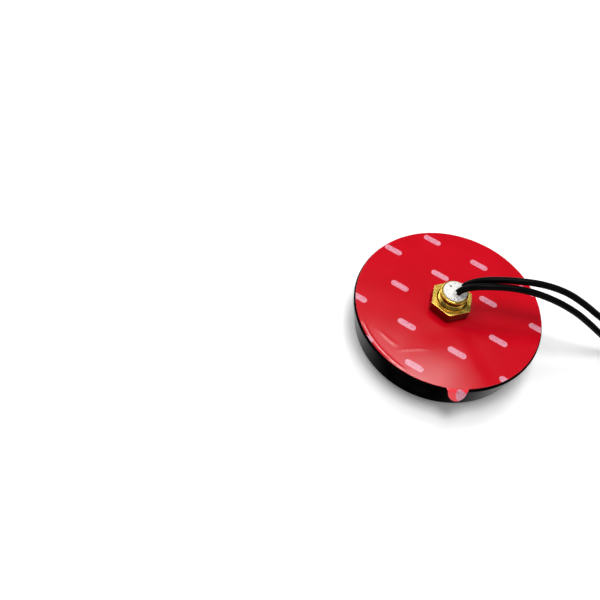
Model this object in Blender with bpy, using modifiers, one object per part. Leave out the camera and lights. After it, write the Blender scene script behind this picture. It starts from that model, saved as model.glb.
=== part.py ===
"""Stud-mounted puck antenna, lying on its crown with its mounting face and stud upwards.

The stud's axis is the Z axis and the crown rests on Z = 0. All sizes are in metres.
"""
import math

import bmesh
import bpy
import numpy as np
from mathutils import Matrix, Vector

# Housing
PUCK_DIAMETER = 0.0800
BODY_HEIGHT = 0.0167
WALL_DRAFT = math.radians(10.8)
CROWN_FILLET = 0.0030
CROWN_THICKNESS = 0.0018
RIM_WALL = 0.0020
LEDGE_WIDTH = 0.0016
RIM_ROUND = 0.0004
BASE_THICKNESS = 0.0015
GASKET_THICKNESS = 0.0008
ROUND_STEPS = 48
SHARP_ANGLE = math.radians(35.0)

# Clearances between pieces that touch on the real antenna
SEAT_GAP = 0.0001
FIT_GAP = 0.0002
THREAD_GAP = 0.0001
CORD_GAP = 0.0003

# Foam pad and release liner
FOAM_INSET = 0.0009
FOAM_THICKNESS = 0.0007
LINER_OVERHANG = 0.0002
LINER_THICKNESS = 0.0002
STUD_HOLE_MARGIN = 0.0008
TAB_WIDTH = 0.0078
TAB_LENGTH = 0.0056
TAB_BEND_RADIUS = 0.0016
TAB_DIRECTION = math.radians(-83.0)
TAB_DROOP = math.radians(62.0)
TAB_COLUMNS = 4
TAB_ROWS = 8

# Brass stud, washer and nut
STUD_DIAMETER = 0.0117
STUD_BORE = 0.0076
STUD_ABOVE_LINER = 0.0098
STUD_CHAMFER = 0.0005
FLANGE_DIAMETER = 0.0160
FLANGE_THICKNESS = 0.0011
WASHER_DIAMETER = 0.0148
WASHER_THICKNESS = 0.0008
NUT_ACROSS_FLATS = 0.0160
NUT_HEIGHT = 0.0042
NUT_CORNER_ANGLE = math.radians(26.0)
NUT_CHAMFER_SLOPE = math.radians(28.0)
NUT_FACE_SHARE = 0.96
NUT_SEAT_MARGIN = 0.0010
FILM_PRESS = 0.00005
FILM_PRESS_RUN = 0.0004
BRASS_STEPS = 32

# White potting in the end of the stud
POTTING_DIAMETER = 0.0108
POTTING_CROWN = 0.0009
POTTING_EDGE = 0.0004
POTTING_DEPTH = 0.0020
POTTING_STEPS = 7

# Board, patch and amplifier
BOARD_MARGIN = 0.0025
BOARD_THICKNESS = 0.0008
PATCH_SIDE = 0.0250
WIRING_SPACE = 0.0079
PATCH_CLEARANCE = 0.0003
TAPE_SIDE = 0.0240
TAPE_THICKNESS = 0.0002
PIN_DIAMETER = 0.0010
PIN_HEAD_DIAMETER = 0.0020
PIN_HEAD_HEIGHT = 0.0002
PIN_PLACE = (-0.0020, 0.0042)
CAN_SIZE = (0.0130, 0.0120, 0.0021)
CAN_SHEET = 0.0003
CAN_PLACE = (-0.0165, -0.0010)
CHIP_SIZE = (0.0030, 0.0030, 0.0010)
FILTER_SIZE = (0.0036, 0.0028, 0.0012)
CHIP_SPACING = 0.0056
RADIATOR_MARGIN = 0.0020
RADIATOR_WIDTH = 0.0055
RADIATOR_SHEET = 0.0004
RADIATOR_RISE = 0.0022
RADIATOR_MIDDLE = math.radians(90.0)
RADIATOR_SPAN = math.radians(84.0)
RADIATOR_STEPS = 12

# Screws
COVER_SCREW_INSET = 0.0080
COVER_SCREW_COUNT = 4
COVER_SCREW_ANGLE = math.radians(45.0)
COVER_SCREW_DIAMETER = 0.0025
COVER_SCREW_LENGTH = 0.0070
COVER_HEAD_DIAMETER = 0.0047
COVER_HEAD_HEIGHT = 0.0011
COVER_POST_DIAMETER = 0.0050
BOARD_SCREW_INSET = 0.0040
BOARD_SCREW_COUNT = 3
BOARD_SCREW_ANGLE = math.radians(30.0)
BOARD_SCREW_DIAMETER = 0.0020
BOARD_SCREW_LENGTH = 0.0045
BOARD_HEAD_DIAMETER = 0.0038
BOARD_HEAD_HEIGHT = 0.0013
BOARD_POST_DIAMETER = 0.0046
RECESS_DIAMETER = 0.0018
RECESS_DEPTH = 0.0006
HEAD_EDGE = 0.0002
SCREW_TIP = 0.0004
SCREW_STEPS = 12

# Cables: the routes run from the potting to the coil, in millimetres
CABLE_DIAMETER = 0.0028
CORE_DIAMETER = 0.0015
CORE_BEND = 0.0025
CORE_BEND_POINTS = 6
PIGTAIL_SPACING = 0.0031
STRIP_BELOW_POTTING = 0.0085
GNSS_CORE_REACH = 0.0090
CELLULAR_CORE_REACH = 0.0155
ROUTE_SPACING = 2.0 * CABLE_DIAMETER
ROUTE_FINENESS = 16
GNSS_ROUTE_MM = [
    (0.6, -1.7, 29.6), (1.7, -1.6, 31.6), (3.8, -1.5, 33.5), (7.5, -1.3, 35.2), (13.0, -0.9, 36.3),
    (20.0, -0.2, 36.7), (27.5, 0.0, 36.4), (35.0, 0.0, 34.9), (43.0, 0.0, 31.9), (50.6, 0.0, 27.8),
    (58.0, 0.1, 22.4), (65.0, 0.7, 16.4), (72.0, 1.9, 10.6), (80.0, 3.8, 5.6), (90.0, 6.4, 2.8),
    (98.0, 8.0, 2.2), (105.0, 8.6, 2.2),
]
CELLULAR_ROUTE_MM = [
    (2.7, 1.8, 29.6), (4.0, 2.0, 31.3), (6.4, 2.2, 33.4), (10.0, 2.5, 35.2), (15.5, 2.8, 36.7),
    (22.0, 3.0, 37.8), (29.4, 3.1, 38.4), (36.0, 3.2, 37.8), (43.0, 3.3, 35.8), (49.0, 3.4, 32.7),
    (55.0, 3.5, 28.8), (61.0, 3.7, 24.4), (67.0, 4.2, 20.4), (75.0, 5.2, 17.0), (85.0, 6.9, 15.4),
    (95.0, 8.2, 15.15), (105.0, 8.6, 15.15),
]

# Coils: four layers of turns, spiralling in and out again
COIL_INNER_RADIUS = 0.0152
COIL_LAYERS = 4
COIL_TURNS_PER_LAYER = 3.5
COIL_TURN_GAP = 0.00045
COIL_POINTS = 24
LEAST_COIL_GAP = 0.0004
CLIMB_TURNS = 0.5
TAIL_POINTS = 8
GNSS_TAIL_RADIUS = 0.0330
GNSS_TAIL_LEVEL_SHARE = 0.40
TIE_WIDTH = 0.0045
TIE_THICKNESS = 0.0005
TIE_ROUND = 0.0030
TIE_ANGLE = math.radians(225.0)

# Screw-on coaxial plugs: stations along each plug's axis from the end of the cable
SLEEVE_DIAMETER = 0.0054
SLEEVE_OVER_CABLE = 0.0030
STEM_DIAMETER = 0.0034
STEM_LENGTH = 0.0075
COLLAR_DIAMETER = 0.0064
COLLAR_LENGTH = 0.0022
NECK_DIAMETER = 0.0048
LIP_LENGTH = 0.0013
PLUG_FLANGE_DIAMETER = 0.0058
PLUG_FLANGE_LENGTH = 0.0008
BARREL_DIAMETER = 0.0046
BARREL_LENGTH = 0.0025
BARREL_BORE = 0.0040
BARREL_FLOOR = 0.0008
PLUG_PIN_DIAMETER = 0.0012
PLUG_PIN_TIP = 0.0004
PLUG_PIN_AHEAD = 0.0018
PIN_SEAT = 0.0003
COUPLING_ACROSS_FLATS = 0.0080
COUPLING_LENGTH = 0.0080
COUPLING_BORE = 0.0064
COUPLING_GAP = 0.00025
PLUG_REST_GAP = 0.0003
PLUG_STEPS = 16

# Heights that follow from the sizes above
puck_radius = PUCK_DIAMETER / 2
base_top = BODY_HEIGHT
base_bottom = base_top - BASE_THICKNESS
ledge_top = base_bottom - GASKET_THICKNESS - 2 * SEAT_GAP
rim_inner_radius = puck_radius - RIM_WALL
cavity_radius = rim_inner_radius - LEDGE_WIDTH
foam_radius = puck_radius - FOAM_INSET
liner_radius = foam_radius + LINER_OVERHANG
nut_seat_radius = NUT_ACROSS_FLATS / math.sqrt(3) + NUT_SEAT_MARGIN
foam_bottom = base_top + SEAT_GAP
foam_top = foam_bottom + FOAM_THICKNESS
liner_bottom = foam_top + SEAT_GAP
liner_top = liner_bottom + LINER_THICKNESS
stud_radius = STUD_DIAMETER / 2
stud_hole_radius = stud_radius + STUD_HOLE_MARGIN
stud_top = liner_top + STUD_ABOVE_LINER
washer_bottom = liner_top + SEAT_GAP
nut_bottom = washer_bottom + WASHER_THICKNESS + SEAT_GAP
flange_top = base_bottom - SEAT_GAP
cover_circle_radius = puck_radius - COVER_SCREW_INSET
board_radius = cover_circle_radius - COVER_POST_DIAMETER / 2 - BOARD_MARGIN
board_circle_radius = board_radius - BOARD_SCREW_INSET
radiator_radius = board_radius - RADIATOR_MARGIN
board_top = base_bottom - WIRING_SPACE
board_bottom = board_top - BOARD_THICKNESS
tape_bottom = board_bottom - SEAT_GAP - TAPE_THICKNESS
patch_bottom = CROWN_THICKNESS + PATCH_CLEARANCE
patch_height = tape_bottom - SEAT_GAP - patch_bottom
cable_radius = CABLE_DIAMETER / 2
core_radius = CORE_DIAMETER / 2
coil_pitch = CABLE_DIAMETER + COIL_TURN_GAP
coil_turns = COIL_LAYERS * COIL_TURNS_PER_LAYER
coil_outer_radius = COIL_INNER_RADIUS + COIL_TURNS_PER_LAYER * coil_pitch
coil_rise = (COIL_LAYERS - 1) * coil_pitch

for old_object in list(bpy.data.objects):
    bpy.data.objects.remove(old_object, do_unlink=True)

part_collection = bpy.data.collections.new("puck_antenna")
bpy.context.scene.collection.children.link(part_collection)
cutter_collection = bpy.data.collections.new("puck_antenna_cutters")
bpy.context.scene.collection.children.link(cutter_collection)


def make_material(name, colour, roughness, metallic=0.0):
    material = bpy.data.materials.new(name)
    material.use_nodes = True
    shader = material.node_tree.nodes["Principled BSDF"]
    shader.inputs["Base Color"].default_value = (*colour, 1.0)
    shader.inputs["Roughness"].default_value = roughness
    shader.inputs["Metallic"].default_value = metallic
    return material


BLACK_PLASTIC = make_material("black_plastic", (0.020, 0.020, 0.022), 0.42)
RED_FILM = make_material("red_film", (0.55, 0.012, 0.014), 0.25)
GREY_FOAM = make_material("grey_foam", (0.030, 0.030, 0.032), 0.90)
BLACK_RUBBER = make_material("black_rubber", (0.015, 0.015, 0.016), 0.60)
BRASS = make_material("brass", (0.74, 0.52, 0.20), 0.28, 1.0)
WHITE_POTTING = make_material("white_potting", (0.82, 0.81, 0.78), 0.55)
GREEN_BOARD = make_material("green_board", (0.020, 0.130, 0.050), 0.45)
CERAMIC = make_material("ceramic", (0.66, 0.58, 0.44), 0.60)
TAPE = make_material("tape", (0.70, 0.70, 0.68), 0.70)
STEEL = make_material("steel", (0.60, 0.60, 0.62), 0.35, 1.0)
CHIP_BLACK = make_material("chip_black", (0.025, 0.025, 0.027), 0.55)
CABLE_JACKET = make_material("cable_jacket", (0.012, 0.012, 0.013), 0.48)
TIE_BLACK = make_material("tie_black", (0.030, 0.030, 0.030), 0.60)
GOLD_PLATE = make_material("gold_plate", (0.83, 0.60, 0.24), 0.22, 1.0)
WHITE_INSULATOR = make_material("white_insulator", (0.86, 0.86, 0.84), 0.40)


def add_object(name, data, material=None, location=(0, 0, 0), parent=None):
    """Link an object to the part, or to the cutters when it has no material."""
    item = bpy.data.objects.new(name, data)
    item.location = location
    item.parent = parent
    if material is None:
        cutter_collection.objects.link(item)
        item.hide_render = True
        item.display_type = "WIRE"
    else:
        part_collection.objects.link(item)
        data.materials.append(material)
    return item


def add_empty(name, location, rotation):
    empty = bpy.data.objects.new(name, None)
    empty.location = location
    empty.rotation_euler = rotation
    part_collection.objects.link(empty)
    return empty


def mesh_from(work, name):
    mesh = bpy.data.meshes.new(name)
    work.to_mesh(mesh)
    work.free()
    return mesh


def turned(name, profile, material=None, steps=ROUND_STEPS, closed=False, location=(0, 0, 0), parent=None):
    """Turn a profile of (radius, height) points, outer side running downwards, round the Z axis."""
    mesh = bpy.data.meshes.new(name)
    count = len(profile)
    edges = [(i, i + 1) for i in range(count - 1)]
    if closed:
        edges.append((count - 1, 0))
    mesh.from_pydata([(radius, 0.0, height) for radius, height in profile], edges, [])
    item = add_object(name, mesh, material, location, parent)
    screw = item.modifiers.new("turn", "SCREW")
    screw.steps = steps
    screw.render_steps = steps
    screw.use_merge_vertices = True
    screw.merge_threshold = 0.000001
    return item


def ring(name, inner, outer, low, high, material=None, steps=ROUND_STEPS, location=(0, 0, 0), parent=None):
    """A flat ring between two radii and two heights."""
    profile = [(outer, high), (outer, low), (inner, low), (inner, high)]
    return turned(name, profile, material, steps, True, location, parent)


def arc(centre, radius, start, end, steps):
    """Points on an arc in the profile plane, angles in degrees from the radial direction."""
    angles = np.radians(np.linspace(start, end, steps + 1))
    return [(centre[0] + radius * math.cos(a), centre[1] + radius * math.sin(a)) for a in angles]


def on_circle(radius, count, first_angle):
    angles = [first_angle + 2 * math.pi * i / count for i in range(count)]
    return [(radius * math.cos(a), radius * math.sin(a)) for a in angles]


def rods(name, centres, radius, low, high, sides=SCREW_STEPS):
    """Upright rods joined in one cutter object."""
    work = bmesh.new()
    for x, y in centres:
        place = Matrix.Translation((x, y, (low + high) / 2))
        bmesh.ops.create_cone(work, cap_ends=True, segments=sides, radius1=radius, radius2=radius,
                              depth=high - low, matrix=place)
    return add_object(name, mesh_from(work, name))


def hex_prism(name, across_flats, height, material, location, parent=None):
    """A hexagonal prism standing on its own origin, with a corner on its X axis."""
    work = bmesh.new()
    corner_radius = across_flats / math.sqrt(3)
    place = Matrix.Translation((0, 0, height / 2)) @ Matrix.Rotation(math.radians(30.0), 4, "Z")
    bmesh.ops.create_cone(work, cap_ends=True, segments=6, radius1=corner_radius, radius2=corner_radius,
                          depth=height, matrix=place)
    return add_object(name, mesh_from(work, name), material, location, parent)


def block(name, size, centre_xy, low, material):
    """A box standing at a height."""
    work = bmesh.new()
    place = Matrix.Translation((0, 0, size[2] / 2)) @ Matrix.Diagonal((*size, 1.0))
    bmesh.ops.create_cube(work, size=1.0, matrix=place)
    return add_object(name, mesh_from(work, name), material, (*centre_xy, low))


def combine(item, other, operation):
    boolean = item.modifiers.new(other.name, "BOOLEAN")
    boolean.operation = operation
    boolean.object = other
    boolean.solver = "EXACT"


def tube(name, points, radius, material, resolution, point_radii=None):
    """A round tube with filled ends along a list of points."""
    curve = bpy.data.curves.new(name, "CURVE")
    curve.dimensions = "3D"
    curve.fill_mode = "FULL"
    curve.bevel_depth = radius
    curve.bevel_resolution = resolution
    curve.use_fill_caps = True
    spline = curve.splines.new("POLY")
    spline.points.add(len(points) - 1)
    for i, point in enumerate(points):
        spline.points[i].co = (*point, 1.0)
        if point_radii:
            spline.points[i].radius = point_radii[i] / radius
    return add_object(name, curve, material)


def smooth_route(route, spacing):
    """Evenly spaced points on the Catmull-Rom curve through a route's own points."""
    own = np.array(route, float)
    padded = np.vstack([2 * own[0] - own[1], own, 2 * own[-1] - own[-2]])
    share = np.linspace(0, 1, ROUTE_FINENESS, endpoint=False)[:, None]
    pieces = []
    for a, b, c, d in zip(padded, padded[1:], padded[2:], padded[3:]):
        pieces.append(0.5 * (2 * b + (c - a) * share + (2 * a - 5 * b + 4 * c - d) * share ** 2
                             + (3 * b - 3 * c + d - a) * share ** 3))
    fine = np.vstack(pieces + [own[-1:]])
    run = np.concatenate([[0.0], np.cumsum(np.linalg.norm(np.diff(fine, axis=0), axis=1))])
    stations = np.linspace(0.0, run[-1], round(run[-1] / spacing) + 1)
    return np.column_stack([np.interp(stations, run, fine[:, i]) for i in range(3)])


def leaning_radius(top_radius, wall_height, fillet):
    """Where the centre of a fillet lies that joins a wall leaning in from its top to the flat under it."""
    return top_radius - (wall_height - fillet) * math.tan(WALL_DRAFT) - fillet / math.cos(WALL_DRAFT)


def make_radome():
    """The moulded cup: crown, rounded edge, wall that leans in, ledge for the gasket and screw posts inside."""
    draft = math.degrees(WALL_DRAFT)
    inner_fillet = max(CROWN_FILLET - RIM_WALL - LEDGE_WIDTH, RIM_ROUND)
    inner_centre = (leaning_radius(cavity_radius, ledge_top - CROWN_THICKNESS, inner_fillet),
                    CROWN_THICKNESS + inner_fillet)
    outer_centre = (leaning_radius(puck_radius, base_top - RIM_ROUND, CROWN_FILLET), CROWN_FILLET)
    profile = [(0.0, CROWN_THICKNESS)]
    profile += arc(inner_centre, inner_fillet, -90, -draft, 3)
    profile += [(cavity_radius, ledge_top), (rim_inner_radius, ledge_top), (rim_inner_radius, base_top)]
    profile += arc((puck_radius - RIM_ROUND, base_top - RIM_ROUND), RIM_ROUND, 90, 0, 2)
    profile += arc(outer_centre, CROWN_FILLET, -draft, -90, 6)
    profile += [(0.0, 0.0)]
    radome = turned("radome", profile, BLACK_PLASTIC)
    root = CROWN_THICKNESS / 2
    post_sets = [
        ("cover", cover_places, COVER_POST_DIAMETER, base_bottom - SEAT_GAP, COVER_SCREW_DIAMETER),
        ("board", board_places, BOARD_POST_DIAMETER, board_bottom - SEAT_GAP, BOARD_SCREW_DIAMETER),
    ]
    for label, places, diameter, high, screw_diameter in post_sets:
        posts = rods(f"{label}_posts", places, diameter / 2, root, high)
        combine(radome, posts, "UNION")
    for label, places, diameter, high, screw_diameter in post_sets:
        pilot_radius = screw_diameter / 2 + FIT_GAP
        pilots = rods(f"{label}_pilots", places, pilot_radius, CROWN_THICKNESS, high + root)
        combine(radome, pilots, "DIFFERENCE")


def make_base_plate():
    """The lid in the cup's rim, with the stud's hole and countersunk screw holes."""
    base = ring("base_plate", stud_radius + FIT_GAP, rim_inner_radius - FIT_GAP, base_bottom, base_top,
                BLACK_PLASTIC)
    head_radius = COVER_HEAD_DIAMETER / 2 + FIT_GAP
    shank_radius = COVER_SCREW_DIAMETER / 2 + FIT_GAP
    profile = [
        (0.0, BASE_THICKNESS), (head_radius, BASE_THICKNESS), (head_radius, -HEAD_EDGE - FIT_GAP),
        (shank_radius, -COVER_HEAD_HEIGHT - FIT_GAP), (shank_radius, -2 * BASE_THICKNESS),
        (0.0, -2 * BASE_THICKNESS),
    ]
    for i, (x, y) in enumerate(cover_places):
        hole = turned(f"cover_hole_{i + 1}", profile, None, SCREW_STEPS, False, (x, y, base_top - SEAT_GAP))
        combine(base, hole, "DIFFERENCE")
    ring("rim_gasket", cavity_radius + FIT_GAP, rim_inner_radius - FIT_GAP, ledge_top + SEAT_GAP,
         base_bottom - SEAT_GAP, BLACK_RUBBER)


def tab_station(row):
    """How far out and down the tab has run at a row, and how narrow its round end is there."""
    run = TAB_LENGTH * math.sin(math.pi / 2 * row / TAB_ROWS)
    bend = min(run / TAB_BEND_RADIUS, TAB_DROOP)
    straight = run - bend * TAB_BEND_RADIUS
    out = TAB_BEND_RADIUS * math.sin(bend) + straight * math.cos(bend)
    down = TAB_BEND_RADIUS * (1 - math.cos(bend)) + straight * math.sin(bend)
    into_round = max(run - (TAB_LENGTH - TAB_WIDTH / 2), 0.0) / (TAB_WIDTH / 2)
    narrow = math.sqrt(max(1.0 - into_round ** 2, 0.0)) + SEAT_GAP / TAB_WIDTH
    return out, down, min(narrow, 1.0)


def make_foam_and_liner():
    """The foam pad, and the film on it, pressed down under the nut, with a pull tab bent over the rim."""
    ring("foam_pad", stud_hole_radius, foam_radius, foam_bottom, foam_top, GREY_FOAM)
    half_angle = math.asin(TAB_WIDTH / 2 / liner_radius)
    first = TAB_DIRECTION - half_angle
    outward = Vector((math.cos(first), math.sin(first), 0.0))
    work = bmesh.new()
    pressed = Vector((0.0, 0.0, -FILM_PRESS))
    places = [outward * stud_hole_radius + pressed, outward * nut_seat_radius + pressed,
              outward * (nut_seat_radius + FILM_PRESS_RUN), outward * liner_radius]
    spoke = [work.verts.new(place) for place in places]
    start = spoke + [work.edges.new(pair) for pair in zip(spoke, spoke[1:])]
    turn = {"cent": (0, 0, 0), "axis": (0, 0, 1), "use_merge": False}
    spun = bmesh.ops.spin(work, geom=start, angle=2 * half_angle, steps=TAB_COLUMNS, **turn)
    rim = [e for e in work.edges if all(v.co.length > liner_radius - SEAT_GAP for v in e.verts)]
    bmesh.ops.spin(work, geom=spun["geom_last"], angle=2 * (math.pi - half_angle), steps=ROUND_STEPS, **turn)
    along = Vector((math.cos(TAB_DIRECTION), math.sin(TAB_DIRECTION), 0.0))
    across = Vector((-along.y, along.x, 0.0))
    last_out, last_down, last_narrow = 0.0, 0.0, 1.0
    for row in range(1, TAB_ROWS + 1):
        grown = bmesh.ops.extrude_edge_only(work, edges=rim)["geom"]
        out, down, narrow = tab_station(row)
        step = along * (out - last_out) - Vector((0, 0, down - last_down))
        for vert in [g for g in grown if isinstance(g, bmesh.types.BMVert)]:
            vert.co += step + across * vert.co.dot(across) * (narrow / last_narrow - 1.0)
        rim = [g for g in grown if isinstance(g, bmesh.types.BMEdge)]
        last_out, last_down, last_narrow = out, down, narrow
    bmesh.ops.remove_doubles(work, verts=work.verts, dist=0.000001)
    bmesh.ops.recalc_face_normals(work, faces=work.faces)
    work.faces.ensure_lookup_table()
    if work.faces[0].normal.z < 0:
        bmesh.ops.reverse_faces(work, faces=work.faces)
    liner = add_object("release_liner", mesh_from(work, "release_liner"), RED_FILM, (0, 0, liner_bottom))
    sheet = liner.modifiers.new("film", "SOLIDIFY")
    sheet.thickness = LINER_THICKNESS
    sheet.offset = 1.0


def make_stud():
    """The hollow stud with its flange under the lid, the washer and the nut on it, and the potting."""
    bore = STUD_BORE / 2
    flange_bottom = flange_top - FLANGE_THICKNESS
    profile = [
        (stud_radius - STUD_CHAMFER, stud_top), (stud_radius, stud_top - STUD_CHAMFER),
        (stud_radius, flange_top), (FLANGE_DIAMETER / 2, flange_top), (FLANGE_DIAMETER / 2, flange_bottom),
        (bore, flange_bottom), (bore, stud_top),
    ]
    turned("threaded_stud", profile, BRASS, BRASS_STEPS, True)
    ring("lock_washer", stud_radius + FIT_GAP, WASHER_DIAMETER / 2, 0.0, WASHER_THICKNESS, BRASS,
         BRASS_STEPS, (0, 0, washer_bottom))
    plug_radius = bore - FIT_GAP
    cap_radius = POTTING_DIAMETER / 2
    cap_bottom = stud_top + SEAT_GAP
    dome = POTTING_CROWN - POTTING_EDGE
    crown = [(cap_radius * math.sin(a), cap_bottom + POTTING_EDGE + dome * math.cos(a))
             for a in np.linspace(0.0, math.pi / 2, POTTING_STEPS)]
    profile = crown + [(cap_radius, cap_bottom), (plug_radius, cap_bottom),
                       (plug_radius, stud_top - POTTING_DEPTH), (0.0, stud_top - POTTING_DEPTH)]
    turned("potting", profile, WHITE_POTTING, BRASS_STEPS)


def chamfered_hex(name, across_flats, height, material, location, bore_cutter, steps, parent=None):
    """A hexagonal nut with both faces chamfered to a circle, cut by its bore."""
    nut = hex_prism(name, across_flats, height, material, location, parent)
    face_radius = across_flats / 2 * NUT_FACE_SHARE
    reach = across_flats / math.sqrt(3) + height
    over = height / 4
    slope = math.tan(NUT_CHAMFER_SLOPE)
    drop = min((reach - face_radius) * slope, height / 2)
    wide = face_radius + drop / slope
    narrow = face_radius - over / slope
    profile = [(0.0, height + over), (narrow, height + over), (wide, height - drop), (wide, drop),
               (narrow, -over), (0.0, -over)]
    barrel = turned(f"{name}_chamfer", profile, None, steps, False, location, parent)
    combine(nut, barrel, "INTERSECT")
    combine(nut, bore_cutter, "DIFFERENCE")
    return nut


def make_nut():
    bore = rods("nut_bore", [(0.0, 0.0)], stud_radius + THREAD_GAP, nut_bottom - NUT_HEIGHT,
                nut_bottom + 2 * NUT_HEIGHT, BRASS_STEPS)
    nut = chamfered_hex("hex_nut", NUT_ACROSS_FLATS, NUT_HEIGHT, BRASS, (0, 0, nut_bottom), bore, BRASS_STEPS)
    nut.rotation_euler.z = NUT_CORNER_ANGLE


def make_board():
    """The round board with the ceramic patch on its sky side and the shielded amplifier behind it."""
    board = turned("main_board", [(0.0, board_top), (board_radius, board_top), (board_radius, board_bottom),
                                  (0.0, board_bottom)], GREEN_BOARD)
    patch = block("patch_antenna", (PATCH_SIDE, PATCH_SIDE, patch_height), (0, 0), patch_bottom, CERAMIC)
    tape = block("patch_tape", (TAPE_SIDE, TAPE_SIDE, TAPE_THICKNESS), (0, 0), tape_bottom, TAPE)
    pin_hole = rods("pin_hole", [PIN_PLACE], PIN_DIAMETER / 2 + FIT_GAP, 0.0, BODY_HEIGHT)
    for item in (board, patch, tape):
        combine(item, pin_hole, "DIFFERENCE")
    holes = rods("board_holes", board_places, BOARD_SCREW_DIAMETER / 2 + FIT_GAP, 0.0, BODY_HEIGHT)
    combine(board, holes, "DIFFERENCE")
    head_top = patch_bottom - SEAT_GAP
    pin_profile = [
        (0.0, board_top + PIN_HEAD_HEIGHT), (PIN_DIAMETER / 2, board_top + PIN_HEAD_HEIGHT),
        (PIN_DIAMETER / 2, head_top), (PIN_HEAD_DIAMETER / 2, head_top),
        (PIN_HEAD_DIAMETER / 2, head_top - PIN_HEAD_HEIGHT), (0.0, head_top - PIN_HEAD_HEIGHT),
    ]
    turned("feed_pin", pin_profile, STEEL, SCREW_STEPS, False, (*PIN_PLACE, 0.0))
    on_board = board_top + SEAT_GAP
    can = block("shield_can", CAN_SIZE, CAN_PLACE, on_board, STEEL)
    work = bmesh.new()
    work.from_mesh(can.data)
    bmesh.ops.delete(work, geom=[f for f in work.faces if f.normal.z < -0.5], context="FACES")
    work.to_mesh(can.data)
    work.free()
    sheet = can.modifiers.new("sheet", "SOLIDIFY")
    sheet.thickness = CAN_SHEET
    sheet.offset = -1.0
    sheet.use_even_offset = True
    for name, size, shift in (("lna_chip", CHIP_SIZE, -0.5), ("saw_filter", FILTER_SIZE, 0.5)):
        place = (CAN_PLACE[0] + shift * CHIP_SPACING, CAN_PLACE[1])
        block(name, size, place, on_board, CHIP_BLACK)


def make_radiator():
    """The stamped cellular strip: an arc over the board that stands on its two bent-down ends."""
    first = RADIATOR_MIDDLE - RADIATOR_SPAN / 2
    outward = Vector((math.cos(first), math.sin(first), 0.0))
    work = bmesh.new()
    radii = (radiator_radius - RADIATOR_WIDTH, radiator_radius)
    ends = [work.verts.new(outward * radius) for radius in radii]
    edge = work.edges.new(ends)
    spun = bmesh.ops.spin(work, geom=[*ends, edge], cent=(0, 0, 0), axis=(0, 0, 1), angle=RADIATOR_SPAN,
                          steps=RADIATOR_STEPS, use_merge=False)
    last_edge = [g for g in spun["geom_last"] if isinstance(g, bmesh.types.BMEdge)]
    for foot in ([edge], last_edge):
        grown = bmesh.ops.extrude_edge_only(work, edges=foot)["geom"]
        feet = [g for g in grown if isinstance(g, bmesh.types.BMVert)]
        bmesh.ops.translate(work, verts=feet, vec=(0, 0, -RADIATOR_RISE))
    bmesh.ops.recalc_face_normals(work, faces=work.faces)
    height = board_top + SEAT_GAP + RADIATOR_RISE
    strip = add_object("cellular_radiator", mesh_from(work, "cellular_radiator"), STEEL, (0, 0, height))
    sheet = strip.modifiers.new("sheet", "SOLIDIFY")
    sheet.thickness = RADIATOR_SHEET
    sheet.offset = 0.0
    sheet.use_even_offset = True


def make_screw(name, place, top, sizes):
    """A screw hanging from the top of its head; a countersunk head runs straight into the shank."""
    head, head_height, shank, length, countersunk = sizes
    shoulder = [] if countersunk else [(head / 2, -head_height)]
    profile = [(0.0, -RECESS_DEPTH), (RECESS_DIAMETER / 2, 0.0), (head / 2, 0.0), (head / 2, -HEAD_EDGE)]
    profile += shoulder + [(shank / 2, -head_height), (shank / 2, SCREW_TIP - length)]
    profile += [(shank / 2 - SCREW_TIP, -length), (0.0, -length)]
    turned(name, profile, STEEL, SCREW_STEPS, False, (*place, top))


def make_screws():
    cover = (COVER_HEAD_DIAMETER, COVER_HEAD_HEIGHT, COVER_SCREW_DIAMETER, COVER_SCREW_LENGTH, True)
    for i, place in enumerate(cover_places):
        make_screw(f"cover_screw_{i + 1}", place, base_top - SEAT_GAP, cover)
    pan = (BOARD_HEAD_DIAMETER, BOARD_HEAD_HEIGHT, BOARD_SCREW_DIAMETER, BOARD_SCREW_LENGTH, False)
    for i, place in enumerate(board_places):
        make_screw(f"board_screw_{i + 1}", place, board_top + SEAT_GAP + BOARD_HEAD_HEIGHT, pan)


def make_pigtail(name, side, heading, reach):
    """A cable's end in the stud: jacketed in the bore, then its bare core turning along the board."""
    start = Vector((0.0, side * PIGTAIL_SPACING / 2, stud_top - POTTING_DEPTH - CORD_GAP))
    strip_height = start.z - STRIP_BELOW_POTTING
    core_height = board_top + SEAT_GAP + core_radius
    bend_height = core_height + CORE_BEND
    points = [start, Vector((start.x, start.y, strip_height)),
              Vector((start.x, start.y, strip_height - CORD_GAP))]
    radii = [cable_radius, cable_radius, core_radius]
    for turn in np.linspace(0.0, math.pi / 2, CORE_BEND_POINTS):
        across = CORE_BEND * (1 - math.cos(turn))
        points.append(Vector((start.x + heading[0] * across, start.y + heading[1] * across,
                              bend_height - CORE_BEND * math.sin(turn))))
        radii.append(core_radius)
    points.append(Vector((start.x + heading[0] * reach, start.y + heading[1] * reach, core_height)))
    radii.append(core_radius)
    tube(name, points, cable_radius, CABLE_JACKET, 2, radii)


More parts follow.
